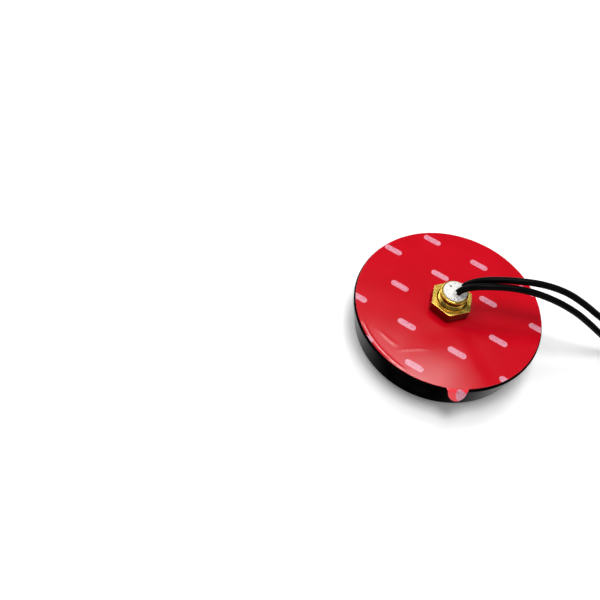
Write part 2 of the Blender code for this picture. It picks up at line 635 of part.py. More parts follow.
def coil_points(entry):
    """Turns of one coil from its outermost, lowest turn: in, out, in and out, climbing as it reverses.

    The turns run clockwise seen from above, from the entry point where the cable runs along +X.
    """
    turn = np.arange(0, round(coil_turns * COIL_POINTS) + 1) / COIL_POINTS
    layer = np.minimum(np.floor(turn / COIL_TURNS_PER_LAYER), COIL_LAYERS - 1)
    share = turn / COIL_TURNS_PER_LAYER - layer
    inward = np.where(layer % 2 == 0, share, 1.0 - share)
    radius = coil_outer_radius - inward * (coil_outer_radius - COIL_INNER_RADIUS)
    height = np.zeros_like(turn)
    for reversal in range(1, COIL_LAYERS):
        middle = reversal * COIL_TURNS_PER_LAYER
        climb = np.clip((turn - middle) / CLIMB_TURNS + 0.5, 0.0, 1.0)
        height += coil_pitch * climb * climb * (3 - 2 * climb)
    angle = math.pi / 2 - 2 * math.pi * turn
    centre = np.array(entry) - (0.0, coil_outer_radius, 0.0)
    return centre + np.column_stack([radius * np.cos(angle), radius * np.sin(angle), height])


def least_gap(points):
    """The least clear distance between turns of one tube, from points half a turn or more apart."""
    apart = np.linalg.norm(points[:, None, :] - points[None, :, :], axis=2)
    index = np.arange(len(points))
    far = np.abs(index[:, None] - index[None, :]) > COIL_POINTS // 2
    return float(apart[far].min()) - CABLE_DIAMETER


def ease(share):
    return share * share * (3 - 2 * share)


def make_coil(name, turns, tail):
    points = np.vstack([turns, tail])
    gap = least_gap(points)
    print(f"{name}: least gap to itself {gap * 1000:.2f} mm, more than {LEAST_COIL_GAP * 1000:.2f} mm wanted")
    tube(name, [tuple(p) for p in points], cable_radius, CABLE_JACKET, 1)


def quarter_tail(turns, radius, start_share, end_height):
    """A quarter turn out of the last point, to the right, that comes to another height at its end."""
    share = np.linspace(0.0, 1.0, TAIL_POINTS + 1)[1:]
    angle = math.pi / 2 * (1.0 - share)
    x, y, z = turns[-1]
    moved = ease(np.clip((share - start_share) / (1.0 - start_share), 0.0, 1.0))
    return np.column_stack([x + radius * np.cos(angle), y - radius + radius * np.sin(angle),
                            z + (end_height - z) * moved])


def make_cables():
    """Both free stretches, their coils one on the other, the tie round them and the plugs."""
    routes = {"gnss": np.array(GNSS_ROUTE_MM) / 1000, "cellular": np.array(CELLULAR_ROUTE_MM) / 1000}
    straight = np.array([0.0, -CABLE_DIAMETER, 0.0])
    coupling_corner = COUPLING_ACROSS_FLATS / math.sqrt(3)
    tops = {}
    for label, route in routes.items():
        free = smooth_route(route, ROUTE_SPACING)
        tube(f"{label}_cable", [tuple(p) for p in free], cable_radius, CABLE_JACKET, 2)
        entry = route[-1] + (CORD_GAP, 0.0, 0.0)
        turns = coil_points(entry)
        tops[label] = entry[2] + coil_rise + cable_radius
        if label == "gnss":
            axis_height = coupling_corner + PLUG_REST_GAP
            tail = quarter_tail(turns, GNSS_TAIL_RADIUS, GNSS_TAIL_LEVEL_SHARE, axis_height)
        else:
            lift = np.clip((np.arange(len(turns)) - len(turns) + 1) / (COIL_POINTS / 4) + 1.0, 0.0, 1.0)
            turns[:, 2] += coil_pitch * ease(lift)
            axis_height = tops[label] + PLUG_REST_GAP + coupling_corner
            tail = quarter_tail(turns, coil_outer_radius / 2, 0.0, axis_height)
        end = tail[-1] + 2 * straight
        make_coil(f"{label}_coil", turns, np.vstack([tail, tail[-1] + straight, end]))
        make_plug(label, end)
        print(f"{label} plug: cable end at", [round(float(v), 5) for v in end])
    make_tie(routes["gnss"][-1] - (0.0, coil_outer_radius, 0.0), tops["cellular"])


def make_tie(centre, coil_top):
    """A flat band with round corners, standing across both coils' section on the ground."""
    low = COIL_INNER_RADIUS - cable_radius - CORD_GAP
    high = coil_outer_radius + cable_radius + CORD_GAP
    curve = bpy.data.curves.new("cable_tie", "CURVE")
    curve.dimensions = "2D"
    curve.fill_mode = "BOTH"
    curve.extrude = TIE_WIDTH / 2
    for grow in (TIE_THICKNESS, 0.0):
        left, right = low - grow, high + grow
        bottom, top = TIE_THICKNESS - grow, coil_top + CORD_GAP + grow
        bend = TIE_ROUND + grow - TIE_THICKNESS
        outline = []
        for x, y, start in ((right - bend, top - bend, 0), (left + bend, top - bend, 90),
                            (left + bend, bottom + bend, 180), (right - bend, bottom + bend, 270)):
            outline += arc((x, y), bend, start, start + 90, 4)
        spline = curve.splines.new("POLY")
        spline.points.add(len(outline) - 1)
        for point, (x, y) in zip(spline.points, outline):
            point.co = (x, y, 0.0, 1.0)
        spline.use_cyclic_u = True
    tie = add_object("cable_tie", curve, TIE_BLACK, (centre[0], centre[1], 0.0))
    tie.rotation_euler = (math.pi / 2, 0.0, TIE_ANGLE)


def make_plug(label, end):
    """A straight plug on the cable's end, mating along -Y: sleeve, body, insulator, pin, coupling nut."""
    frame = add_empty(f"{label}_plug_frame", tuple(end), (math.pi / 2, 0.0, 0.0))
    shared = {"steps": PLUG_STEPS, "parent": frame}
    collar_start = CORD_GAP + STEM_LENGTH
    collar_end = collar_start + COLLAR_LENGTH
    lip_start = collar_end + COUPLING_GAP
    lip_end = lip_start + LIP_LENGTH
    flange_start = lip_end + COUPLING_GAP
    flange_end = flange_start + PLUG_FLANGE_LENGTH
    front = flange_end + BARREL_LENGTH
    sleeve_end = collar_start - SEAT_GAP
    bore = cable_radius + CORD_GAP
    stem = STEM_DIAMETER / 2
    profile = [(SLEEVE_DIAMETER / 2, sleeve_end), (SLEEVE_DIAMETER / 2, -SLEEVE_OVER_CABLE),
               (bore, -SLEEVE_OVER_CABLE), (bore, 0.0), (stem + FIT_GAP, 0.0), (stem + FIT_GAP, sleeve_end)]
    turned(f"{label}_plug_sleeve", profile, BLACK_RUBBER, closed=True, **shared)
    inside = BARREL_BORE / 2
    floor = collar_start + BARREL_FLOOR
    profile = [
        (0.0, floor), (inside, floor), (inside, front), (BARREL_DIAMETER / 2, front),
        (BARREL_DIAMETER / 2, flange_end), (PLUG_FLANGE_DIAMETER / 2, flange_end),
        (PLUG_FLANGE_DIAMETER / 2, flange_start), (NECK_DIAMETER / 2, flange_start),
        (NECK_DIAMETER / 2, collar_end), (COLLAR_DIAMETER / 2, collar_end),
        (COLLAR_DIAMETER / 2, collar_start), (stem, collar_start), (stem, CORD_GAP), (0.0, CORD_GAP),
    ]
    turned(f"{label}_plug_body", profile, GOLD_PLATE, **shared)
    pin = PLUG_PIN_DIAMETER / 2
    pin_start = floor + PIN_SEAT
    ring(f"{label}_plug_insulator", pin + FIT_GAP, inside - FIT_GAP / 2, floor + SEAT_GAP, front,
         WHITE_INSULATOR, **shared)
    pin_front = front + PLUG_PIN_AHEAD
    profile = [(0.0, pin_front), (pin - PLUG_PIN_TIP, pin_front), (pin, pin_front - 2 * PLUG_PIN_TIP),
               (pin, pin_start), (0.0, pin_start)]
    turned(f"{label}_plug_pin", profile, GOLD_PLATE, **shared)
    lip_radius = NECK_DIAMETER / 2 + COUPLING_GAP
    mouth = COUPLING_BORE / 2
    beyond = COUPLING_LENGTH / 4
    profile = [(0.0, COUPLING_LENGTH + beyond), (mouth, COUPLING_LENGTH + beyond), (mouth, LIP_LENGTH),
               (lip_radius, LIP_LENGTH), (lip_radius, -beyond), (0.0, -beyond)]
    place = (0.0, 0.0, lip_start)
    cutter = turned(f"{label}_coupling_bore", profile, None, location=place, **shared)
    chamfered_hex(f"{label}_coupling_nut", COUPLING_ACROSS_FLATS, COUPLING_LENGTH, GOLD_PLATE, place, cutter,
                  PLUG_STEPS, frame)


cover_places = on_circle(cover_circle_radius, COVER_SCREW_COUNT, COVER_SCREW_ANGLE)
board_places = on_circle(board_circle_radius, BOARD_SCREW_COUNT, BOARD_SCREW_ANGLE)
make_radome()
make_base_plate()
make_foam_and_liner()
make_stud()
make_nut()
make_board()
make_radiator()
make_screws()
make_pigtail("gnss_pigtail", -1, (-1.0, 0.0), GNSS_CORE_REACH)
make_pigtail("cellular_pigtail", 1, (0.0, 1.0), CELLULAR_CORE_REACH)
make_cables()
for item in part_collection.objects:
    if item.type == "MESH":
        item.data.shade_smooth()
        item.data.set_sharp_from_angle(angle=SHARP_ANGLE)
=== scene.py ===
# %% [markdown]
# # A stud-mounted puck antenna, laid on its crown
#
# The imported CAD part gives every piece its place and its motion. This lesson dresses it: each piece that
# the eye meets gets a finer surface, worked out with numpy, and each finish is a small tree of shader
# nodes. Everything is in metres, in the part's own frame: the stud stands on the Z axis, the crown lies on
# the floor at Z = 0, and the cables run off towards +X.

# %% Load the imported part
import math

import bmesh
import bpy
import numpy as np
from mathutils import Matrix


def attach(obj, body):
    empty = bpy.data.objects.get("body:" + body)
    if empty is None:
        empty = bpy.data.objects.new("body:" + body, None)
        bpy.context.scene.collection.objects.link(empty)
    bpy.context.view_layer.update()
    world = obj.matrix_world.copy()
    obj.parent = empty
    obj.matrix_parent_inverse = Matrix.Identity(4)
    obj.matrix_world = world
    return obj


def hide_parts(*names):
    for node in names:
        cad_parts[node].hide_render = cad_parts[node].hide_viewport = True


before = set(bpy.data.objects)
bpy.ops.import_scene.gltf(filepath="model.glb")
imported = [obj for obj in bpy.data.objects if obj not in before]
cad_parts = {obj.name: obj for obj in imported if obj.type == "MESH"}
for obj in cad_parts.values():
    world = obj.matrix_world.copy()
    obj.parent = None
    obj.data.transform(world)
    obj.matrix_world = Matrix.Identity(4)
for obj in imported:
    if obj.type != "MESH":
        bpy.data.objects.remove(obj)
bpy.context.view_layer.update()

MM = 0.001
scene = bpy.context.scene
scene.view_settings.view_transform = "Standard"

# %% [markdown]
# ## The camera
#
# A view can be matched by nudging the camera until it looks right, or by measuring. Circles are good rulers:
# seen aslant, the rim of a flat disc becomes an ellipse, whose place, widths and lean tell the lens, the
# downward tilt, the roll and the distance. The matrix is then built from three axes, which avoids any doubt
# about the order of Euler angles.

# %% Camera
PICTURE_PIXELS = 600
FOCAL_PIXELS = 751.4
SENSOR_MM = 36.0
TILT = math.radians(54.72)
ROLL = math.radians(10.38)
CAMERA_PLACE = np.array((-61.5, -188.4, 268.6)) * MM
NEAR_CLIP, FAR_CLIP = 0.01, 20.0

forward = np.array((0.0, math.cos(TILT), -math.sin(TILT)))
level = np.array((1.0, 0.0, 0.0))
right = level * math.cos(ROLL) + np.cross(level, forward) * math.sin(ROLL)
upward = np.cross(right, forward)

camera = bpy.data.objects.new("camera", bpy.data.cameras.new("camera"))
camera.data.sensor_width = SENSOR_MM
camera.data.lens = FOCAL_PIXELS / PICTURE_PIXELS * SENSOR_MM
camera.data.clip_start = NEAR_CLIP
camera.data.clip_end = FAR_CLIP
facing = Matrix(np.column_stack([right, upward, -forward]).tolist()).to_4x4()
camera.matrix_world = Matrix.Translation(CAMERA_PLACE.tolist()) @ facing
scene.collection.objects.link(camera)
scene.camera = camera
print(f"lens {camera.data.lens:.1f} mm, looking down {math.degrees(TILT):.1f} degrees")

# %% [markdown]
# ## Shader sums in plain Python
#
# Node trees are easy to draw by hand and tiring to write in code. A small class that wraps one output
# socket and knows +, -, * and / lets a pattern be written as the sum that it is: every operator adds one
# Math node. Any other node comes from the one method `node`, which sets the node's own settings first and
# then its sockets, each from a number, a colour or another socket.

# %% Socket sums
class Socket:
    """A node's output that can stand in a Python sum; each operator adds one Math node to its tree."""

    def __init__(self, tree, output):
        self.tree = tree
        self.output = output

    def node(self, kind, settings=(), inputs=(), output=0):
        """Any node: its own settings first, then its input sockets by name or number."""
        made = self.tree.nodes.new("ShaderNode" + kind)
        for name, value in dict(settings).items():
            setattr(made, name, value)
        for name, value in dict(inputs).items():
            if isinstance(value, Socket):
                self.tree.links.new(value.output, made.inputs[name])
            else:
                made.inputs[name].default_value = value
        return Socket(self.tree, made.outputs[output])

    def maths(self, operation, first, second=0.0):
        return self.node("Math", {"operation": operation}, {0: first, 1: second})

    def __add__(self, other):
        return self.maths("ADD", self, other)

    def __sub__(self, other):
        return self.maths("SUBTRACT", self, other)

    def __rsub__(self, other):
        return self.maths("SUBTRACT", other, self)

    def __mul__(self, other):
        return self.maths("MULTIPLY", self, other)

    def __truediv__(self, other):
        return self.maths("DIVIDE", self, other)

    def __rtruediv__(self, other):
        return self.maths("DIVIDE", other, self)

    __radd__ = __add__
    __rmul__ = __mul__

    def axis(self, name):
        return self.node("SeparateXYZ", (), {0: self}, name)

    def noise(self, scale, detail, rough):
        return self.node("TexNoise", (), {"Vector": self, "Scale": scale, "Detail": detail,
                                          "Roughness": rough})

    def fit(self, low, high, to_low=0.0, to_high=1.0):
        """This value's share of the way from low to high, eased at both ends, spread over a new range."""
        return self.node("MapRange", {"interpolation_type": "SMOOTHSTEP"},
                         {0: self, 1: low, 2: high, 3: to_low, 4: to_high})

    def blend(self, dark, light):
        """One colour where this value is 0 and the other where it is 1."""
        ends = {6: dark, 7: light}
        ends = {key: end if isinstance(end, Socket) else (*end, 1.0) for key, end in ends.items()}
        return self.node("Mix", {"data_type": "RGBA"}, {0: self, **ends}, 2)

    def bump(self, strength, depth):
        return self.node("Bump", (), {"Strength": strength, "Distance": depth, "Height": self})


def start_finish(name, constants):
    """A new material: returns it, a function that feeds its Principled shader, and Object coordinates."""
    material = bpy.data.materials.new(name)
    material.use_nodes = True
    tree = material.node_tree
    shader = tree.nodes["Principled BSDF"]
    for socket, value in constants.items():
        shader.inputs[socket].default_value = value

    def feed(socket, source):
        tree.links.new(source.output, shader.inputs[socket])

    return material, feed, Socket(tree, tree.nodes.new("ShaderNodeTexCoord").outputs["Object"])


print("shader sums ready")

# %% [markdown]
# ## Floor and light
#
# The antenna lies on plain white, under six soft boxes. The one overhead gives most of the light. The key,
# behind and high, is mirrored by the film as a pale haze at the front left. Weaker boxes at the left, the
# back and the right and a low one in front lay a sheen on the walls and the brass. The surround is dim, with
# a pale band at the horizon. The floor still takes the shadow. What it lacks to pure white, little near the
# antenna and more far from it, is added for camera, mirror and glass rays alone, so it lights nothing.

# %% Floor, surround and lamps
FLOOR_HALF = 3.0
FLOOR_CORNERS = ((-1, -1), (1, -1), (1, 1), (-1, 1))
FLOOR_DROP = 0.05 * MM
FLOOR_WHITE = (0.98, 0.98, 0.98, 1.0)
LIFT_NEAR, LIFT_FAR = (0.13, 0.13, 0.13), (0.95, 0.95, 0.95)
LIFT_DISTANCES = (0.35, 1.6)
SURROUND_LEVEL = (0.90, 0.90, 0.90)
SURROUND_LOW = (0.16, 0.16, 0.16)
SURROUND_HIGH = (0.08, 0.08, 0.08)
# heights on the unit sphere between which the surround goes over from one level to the next
HORIZON_FADE, UPPER_FADE = (0.06, 0.20), (0.25, 0.65)
LAMP_WATTS = math.pi
LAMP_DISTANCE = 1.0
# azimuth from +Y towards +X and elevation in degrees, width and height in metres, and radiance
SOFTBOXES = {
    "key_box": (8.0, 67.1, 0.284, 0.243, 10.4),
    "top_box": (190.0, 88.0, 0.40, 0.40, 11.5),
    "left_box": (-60.0, 45.0, 0.70, 0.60, 1.3),
    "back_box": (-38.0, 26.0, 1.00, 0.40, 2.5),
    "right_box": (85.0, 48.0, 0.60, 0.60, 1.1),
    "low_front_fill": (185.0, 13.0, 0.90, 0.40, 0.6),
}

floor_mesh = bpy.data.meshes.new("floor")
floor_points = [(FLOOR_HALF * x, FLOOR_HALF * y, -FLOOR_DROP) for x, y in FLOOR_CORNERS]
floor_mesh.from_pydata(floor_points, [], [(0, 1, 2, 3)])
floor = bpy.data.objects.new("floor", floor_mesh)
scene.collection.objects.link(floor)
floor_paint, feed, place = start_finish("floor_white", {"Base Color": FLOOR_WHITE, "Roughness": 0.9,
                                                        "Specular IOR Level": 0.0, "Emission Strength": 1.0})
seen = place.node("LightPath", output="Is Camera Ray") + place.node("LightPath", output="Is Glossy Ray")
seen = seen + place.node("LightPath", output="Is Transmission Ray")
away = place.node("VectorMath", {"operation": "LENGTH"}, {0: place}, "Value").fit(*LIFT_DISTANCES)
feed("Emission Color", seen.fit(0.0, 1.0).blend((0.0, 0.0, 0.0), away.blend(LIFT_NEAR, LIFT_FAR)))
floor_mesh.materials.append(floor_paint)

world = bpy.data.worlds.new("surround")
world.use_nodes = True
scene.world = world
sky = world.node_tree.nodes["Background"]
around = Socket(world.node_tree, world.node_tree.nodes.new("ShaderNodeTexCoord").outputs["Generated"])
shade = around.axis("Z").fit(*UPPER_FADE).blend(SURROUND_LOW, SURROUND_HIGH)
shade = around.axis("Z").fit(*HORIZON_FADE).blend(SURROUND_LEVEL, shade)
world.node_tree.links.new(shade.output, sky.inputs["Color"])


def add_softbox(name, azimuth, elevation, width, height, radiance):
    """A rectangular lamp that faces the middle of the crown."""
    side, rise = math.radians(azimuth), math.radians(elevation)
    away = np.array((math.sin(side) * math.cos(rise), math.cos(side) * math.cos(rise), math.sin(rise)))
    lamp = bpy.data.lights.new(name, "AREA")
    lamp.shape = "RECTANGLE"
    lamp.size, lamp.size_y = width, height
    lamp.energy = radiance * LAMP_WATTS * width * height
    box = bpy.data.objects.new(name, lamp)
    across = np.cross((0.0, 0.0, 1.0), away)
    across = across / np.linalg.norm(across)
    turn = Matrix(np.column_stack([across, np.cross(away, across), away]).tolist()).to_4x4()
    box.matrix_world = Matrix.Translation((away * LAMP_DISTANCE).tolist()) @ turn
    scene.collection.objects.link(box)


for name, setting in SOFTBOXES.items():
    add_softbox(name, *setting)
print("lamps:", list(SOFTBOXES))

# %% [markdown]
# ## Surfaces from arrays
#
# Blender can spin, bevel and loft by hand or by modifier. Worked out as arrays the same shapes need no
# clean-up: a surface is a grid of points with rows and columns, and its faces are always the same rule, a
# point with its neighbours. Where a row shrinks to one point, as at a pole, the doubles are merged. The
# sign of the enclosed volume tells whether the faces look outwards, and if not they are turned.

# %% Grids to meshes
MERGE_DISTANCE = 1e-8


def grid_faces(grid, closed):
    """Corner numbers of the quads that join each point with its neighbours in the next row and column."""
    rows, columns = grid.shape[:2]
    row = np.arange(rows if closed else rows - 1)[:, None]
    column = np.arange(columns)[None, :]
    here, below, beside = row * columns, (row + 1) % rows * columns, (column + 1) % columns
    quads = np.stack([here + column, below + column, below + beside, here + beside], axis=-1)
    quads = quads.reshape(-1, 4)
    a, b, c, d = (grid.reshape(-1, 3)[quads[:, corner]] for corner in range(4))
    volume = (np.cross(a, b) * c).sum() + (np.cross(a, c) * d).sum()
    return quads if volume > 0 else quads[:, ::-1]


def mesh_of(name, *grids, closed=True, skin=None):
    """One mesh over one or more grids. skin, if given, is kept as a vector on every point."""
    points = np.concatenate([grid.reshape(-1, 3) for grid in grids])
    firsts = np.cumsum([0] + [grid.shape[0] * grid.shape[1] for grid in grids[:-1]])
    quads = np.concatenate([grid_faces(grid, closed) + first for grid, first in zip(grids, firsts)])
    mesh = bpy.data.meshes.new(name)
    mesh.vertices.add(len(points))
    mesh.vertices.foreach_set("co", points.astype(np.float32).ravel())
    mesh.loops.add(quads.size)
    mesh.loops.foreach_set("vertex_index", quads.astype(np.int32).ravel())
    mesh.polygons.add(len(quads))
    mesh.polygons.foreach_set("loop_start", np.arange(0, quads.size, 4, dtype=np.int32))
    mesh.polygons.foreach_set("use_smooth", np.ones(len(quads), dtype=bool))
    mesh.update(calc_edges=True)
    if skin is not None:
        kept = mesh.attributes.new("skin", "FLOAT_VECTOR", "POINT")
        kept.data.foreach_set("vector", skin.astype(np.float32).ravel())
    work = bmesh.new()
    work.from_mesh(mesh)
    bmesh.ops.remove_doubles(work, verts=work.verts, dist=MERGE_DISTANCE)
    work.to_mesh(mesh)
    work.free()
    return mesh


def add_piece(name, mesh, finish, slot, body, *stands_for):
    """Put a mesh in the scene as a piece that rides on a body and stands for CAD nodes."""
    piece = bpy.data.objects.new(name, mesh)
    scene.collection.objects.link(piece)
    mesh.materials.append(finish)
    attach(piece, body)
    if stands_for:
        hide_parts(*stands_for)
    print(f"{name}: {len(mesh.polygons)} faces on {body}, for {', '.join(stands_for)}")
    return piece


print("grids to meshes ready")

# %% [markdown]
# ## Turned profiles with rounded corners
#
# Most of this antenna is turned or moulded round an axis, so most pieces are a profile of (radius, height)
# points carried round Z. Real edges are never quite sharp, and the thin bright line along an edge is what
# tells the eye that a thing is solid. A Bevel modifier would do; here each corner is rounded in the profile
# itself by a rational curve that is an exact arc, with one more row beside it that keeps the flats flat.

# %% Profiles
# the largest share of a side that a round takes, and how far out its flat's own row lies, in rounds
SIDE_SHARE, FLAT_ROW = 0.47, 1.15


def rounded(corners, reach, steps=4):
    """A closed profile with every corner C made an arc between points A and B, `reach` away on its two sides.

    The arc is ((1-t)^2 A + 2 w t (1-t) C + t^2 B) / ((1-t)^2 + 2 w t (1-t) + t^2), where w is the cosine of
    half the turn at the corner. A profile may have its own columns, for shapes that aren't round.
    """
    corners = np.asarray(corners, float)
    if corners.ndim == 2:
        corners = corners[:, None, :]
    reach = np.broadcast_to(np.asarray(reach, float), len(corners))[:, None, None]
    back, ahead = np.roll(corners, 1, axis=0) - corners, np.roll(corners, -1, axis=0) - corners
    back_length = np.linalg.norm(back, axis=-1, keepdims=True)
    ahead_length = np.linalg.norm(ahead, axis=-1, keepdims=True)
    back, ahead = back / back_length, ahead / ahead_length
    cut = np.minimum(reach, SIDE_SHARE * np.minimum(back_length, ahead_length))
    weight = np.sqrt((1 - (back * ahead).sum(axis=-1, keepdims=True)) / 2)
    share = np.linspace(0, 1, steps + 1)[:, None, None, None]
    first, middle, last = (1 - share) ** 2, 2 * weight * share * (1 - share), share ** 2
    arcs = first * (corners + cut * back) + middle * corners + last * (corners + cut * ahead)
    arcs = arcs / (first + middle + last)
    flats = [(corners + FLAT_ROW * cut * side)[None] for side in (back, ahead)]
    rows = np.concatenate([flats[0], arcs, flats[1]])
    return rows.swapaxes(0, 1).reshape(-1, *corners.shape[1:])


def column_angles(columns):
    """Equal steps of the angle round a full turn."""
    return 2 * np.pi * np.arange(columns) / columns


def spin(profile, columns):
    """Points (r cos a, r sin a, z) of (r, z) rows carried round the Z axis in equal steps of the angle a."""
    angle = column_angles(columns)
    radius, height = np.moveaxis(np.broadcast_to(profile, (len(profile), columns, 2)), -1, 0)
    return np.stack([radius * np.cos(angle), radius * np.sin(angle), height], axis=-1)


def ease(share):
    """Smooth step from 0 to 1: 3 s^2 - 2 s^3, level before and after."""
    share = np.clip(share, 0.0, 1.0)
    return share * share * (3 - 2 * share)


print("profile tools ready")

# %% [markdown]
# ## The cables' finish
#
# The jackets are soft black plastic, drawn through a die: satin, with faint lines along the cable and a
# skin that is never quite even. The pattern has to follow the cable through every bend, so each point of a
# cable keeps the place it would have on a straight one, and the pattern reads that instead of the room.

# %% Cable jacket
jacket, feed, place = start_finish("satin_jacket", {"Specular IOR Level": 0.045})
straight = place.node("Attribute", {"attribute_name": "skin"}, (), "Vector")
drawn = straight.node("Mapping", (), {"Vector": straight, "Scale": (0.06, 1.0, 1.0)}).noise(2600.0, 3.0, 0.6)
grime_and_painted_shade = straight.noise(220.0, 3.0, 0.6)
feed("Base Color", grime_and_painted_shade.fit(0.35, 0.75).blend((0.0006, 0.0006, 0.0008), (0.0022, 0.0022, 0.0026)))
feed("Roughness", drawn.fit(0.3, 0.7, 0.36, 0.52))
feed("Normal", (drawn * 0.7 + grime_and_painted_shade * 0.3).bump(0.25, 0.05 * MM))
print("jacket:", len(jacket.node_tree.nodes), "shader nodes")

# %% [markdown]
# ## The cables' routes
#
# Two thin coaxial cables leave the potting together, arch over the film and come down beside the puck. Each
# is 2 m long, and what the picture doesn't show is wound up: a coil of four layers, in and out and in and
# out again, with the second cable's coil on the first's. A curve object with a bevel would give the same
# tube, but then its points would have no straight place to carry. The circle at each point stands square to
# the path: one direction is the tangent crossed with a guide vector, the other is square to both.

# %% Routes and coils
CABLE_RADIUS = 1.4 * MM
CABLE_SIDES = 20
ROUTE_STEP = 0.9 * MM
ROUTE_FINENESS = 24
GNSS_ROUTE = [
    (0.0, -1.7, 26.8), (0.15, -1.7, 28.2), (0.6, -1.7, 29.6), (1.7, -1.6, 31.6), (3.8, -1.5, 33.5),
    (7.5, -1.3, 35.2), (13.0, -0.9, 36.3), (20.0, -0.2, 36.7), (27.5, 0.0, 36.4), (35.0, 0.0, 34.9),
    (43.0, 0.0, 31.9), (50.6, 0.0, 27.8), (58.0, 0.1, 22.4), (65.0, 0.7, 16.4), (72.0, 1.9, 10.6),
    (80.0, 3.8, 5.6), (90.0, 6.4, 2.8), (98.0, 8.0, 2.2), (105.0, 8.6, 2.2),
]
CELLULAR_ROUTE = [
    (1.2, 1.5, 26.8), (1.8, 1.7, 28.2), (2.7, 1.8, 29.6), (4.0, 2.0, 31.3), (6.4, 2.2, 33.4),
    (10.0, 2.5, 35.2), (15.5, 2.8, 36.7), (22.0, 3.0, 37.8), (29.4, 3.1, 38.4), (36.0, 3.2, 37.8),
    (43.0, 3.3, 35.8), (49.0, 3.4, 32.7), (55.0, 3.5, 28.8), (61.0, 3.7, 24.4), (67.0, 4.2, 20.4),
    (75.0, 5.2, 17.0), (85.0, 6.9, 15.4), (95.0, 8.2, 15.15), (105.0, 8.6, 15.15),
]
COIL_LEAD = 0.3 * MM
COIL_INNER = 15.2 * MM
COIL_PITCH = 3.25 * MM
COIL_LAYERS = 4
LAYER_TURNS = 3.5
TURN_POINTS = 48
CLIMB_TURNS = 0.5
COIL_OUTER = COIL_INNER + LAYER_TURNS * COIL_PITCH
GNSS_TAIL_RADIUS = 33.0 * MM
GNSS_TAIL_LEVEL = 0.40
GNSS_PLUG_HEIGHT = 4.919 * MM
CELLULAR_PLUG_HEIGHT = 31.219 * MM
TAIL_POINTS = 24
STRAIGHT_POINTS = 4
GUIDE_START, GUIDE_RUN = 12.0 * MM, 20.0 * MM
TAIL_STRAIGHT = 5.6 * MM


def smooth_route(route, step):
    """Evenly spaced points on the Catmull-Rom curve through a route's points, which are in millimetres."""
    own = np.array(route, float) * MM
    padded = np.vstack([2 * own[0] - own[1], own, 2 * own[-1] - own[-2]])
    a, b, c, d = (padded[first:len(padded) - 3 + first, None] for first in range(4))
    t = np.linspace(0, 1, ROUTE_FINENESS, endpoint=False)[None, :, None]
    square, cube = 2 * a - 5 * b + 4 * c - d, 3 * b - 3 * c + d - a
    fine = 0.5 * (2 * b + (c - a) * t + square * t ** 2 + cube * t ** 3)
    fine = np.vstack([fine.reshape(-1, 3), own[-1:]])
    run = run_along(fine)
    stations = np.linspace(0.0, run[-1], round(run[-1] / step) + 1)
    return np.column_stack([np.interp(stations, run, fine[:, axis]) for axis in range(3)])


def run_along(path):
    """Length of the path from its start to each of its points."""
    return np.concatenate([[0.0], np.cumsum(np.linalg.norm(np.diff(path, axis=0), axis=1))])


def coil_turns(entry):
    """Turns clockwise from the entry: the radius runs in and out between its limits layer by layer, and the
    height climbs one pitch, eased, over half a turn at each reversal."""
    turn = np.arange(round(COIL_LAYERS * LAYER_TURNS * TURN_POINTS) + 1) / TURN_POINTS
    layer = np.minimum(np.floor(turn / LAYER_TURNS), COIL_LAYERS - 1)
    share = turn / LAYER_TURNS - layer
    inward = np.where(layer % 2 == 0, share, 1.0 - share)
    radius = COIL_OUTER - inward * (COIL_OUTER - COIL_INNER)
    reversals = LAYER_TURNS * np.arange(1, COIL_LAYERS)
    height = COIL_PITCH * ease((turn[:, None] - reversals) / CLIMB_TURNS + 0.5).sum(axis=1)
    angle = math.pi / 2 - 2 * math.pi * turn
    centre = entry - (0.0, COIL_OUTER, 0.0)
    return centre + np.column_stack([radius * np.cos(angle), radius * np.sin(angle), height])


def quarter_tail(start, radius, level_share, end_height):
    """A quarter turn to the right out of a point, easing to another height, then straight along -Y."""
    share = np.linspace(0.0, 1.0, TAIL_POINTS + 1)[1:]
    angle = math.pi / 2 * (1.0 - share)
    moved = ease((share - level_share) / (1.0 - level_share))
    bend = np.column_stack([start[0] + radius * np.cos(angle), start[1] - radius + radius * np.sin(angle),
                            start[2] + (end_height - start[2]) * moved])
    steps = np.linspace(0.0, 1.0, STRAIGHT_POINTS + 1)[1:, None]
    return np.vstack([bend, bend[-1] + steps * (0.0, -TAIL_STRAIGHT, 0.0)])


def cable_path(route, tail_radius, level_share, end_height, last_lift):
    """The free stretch, the coil, whose last quarter turn is lifted, and the tail that leads to the plug."""
    free = smooth_route(route, ROUTE_STEP)
    turns = coil_turns(free[-1] + (COIL_LEAD, 0.0, 0.0))
    rise = ease(1.0 - (len(turns) - 1 - np.arange(len(turns))) / (TURN_POINTS / 4))
    turns[:, 2] += last_lift * rise
    return np.vstack([free, turns, quarter_tail(turns[-1], tail_radius, level_share, end_height)])


def tube(path, radius, sides, guide=(0.0, 0.0, 1.0)):
    """Circles square to a path, and the straight place of each point: (run, r cos, r sin)."""
    tangent = np.gradient(path, axis=0)
    across = np.cross(tangent, guide)
    across = across / np.linalg.norm(across, axis=1, keepdims=True)
    over = np.cross(across, tangent)
    over = over / np.linalg.norm(over, axis=1, keepdims=True)
    angle = column_angles(sides)[None, :, None]
    radius = np.broadcast_to(radius, len(path))[:, None, None]
    rows = path[:, None] + radius * (across[:, None] * np.cos(angle) + over[:, None] * np.sin(angle))
    run = np.broadcast_to(run_along(path)[:, None, None], (len(path), sides, 1))
    skin = np.concatenate([run, radius * np.cos(angle) + 0 * run, radius * np.sin(angle) + 0 * run], axis=-1)
    ends = [np.broadcast_to(path[end], (1, sides, 3)) for end in (0, -1)]
    return np.concatenate([ends[0], rows, ends[1]]), np.concatenate([skin[:1], skin, skin[-1:]])


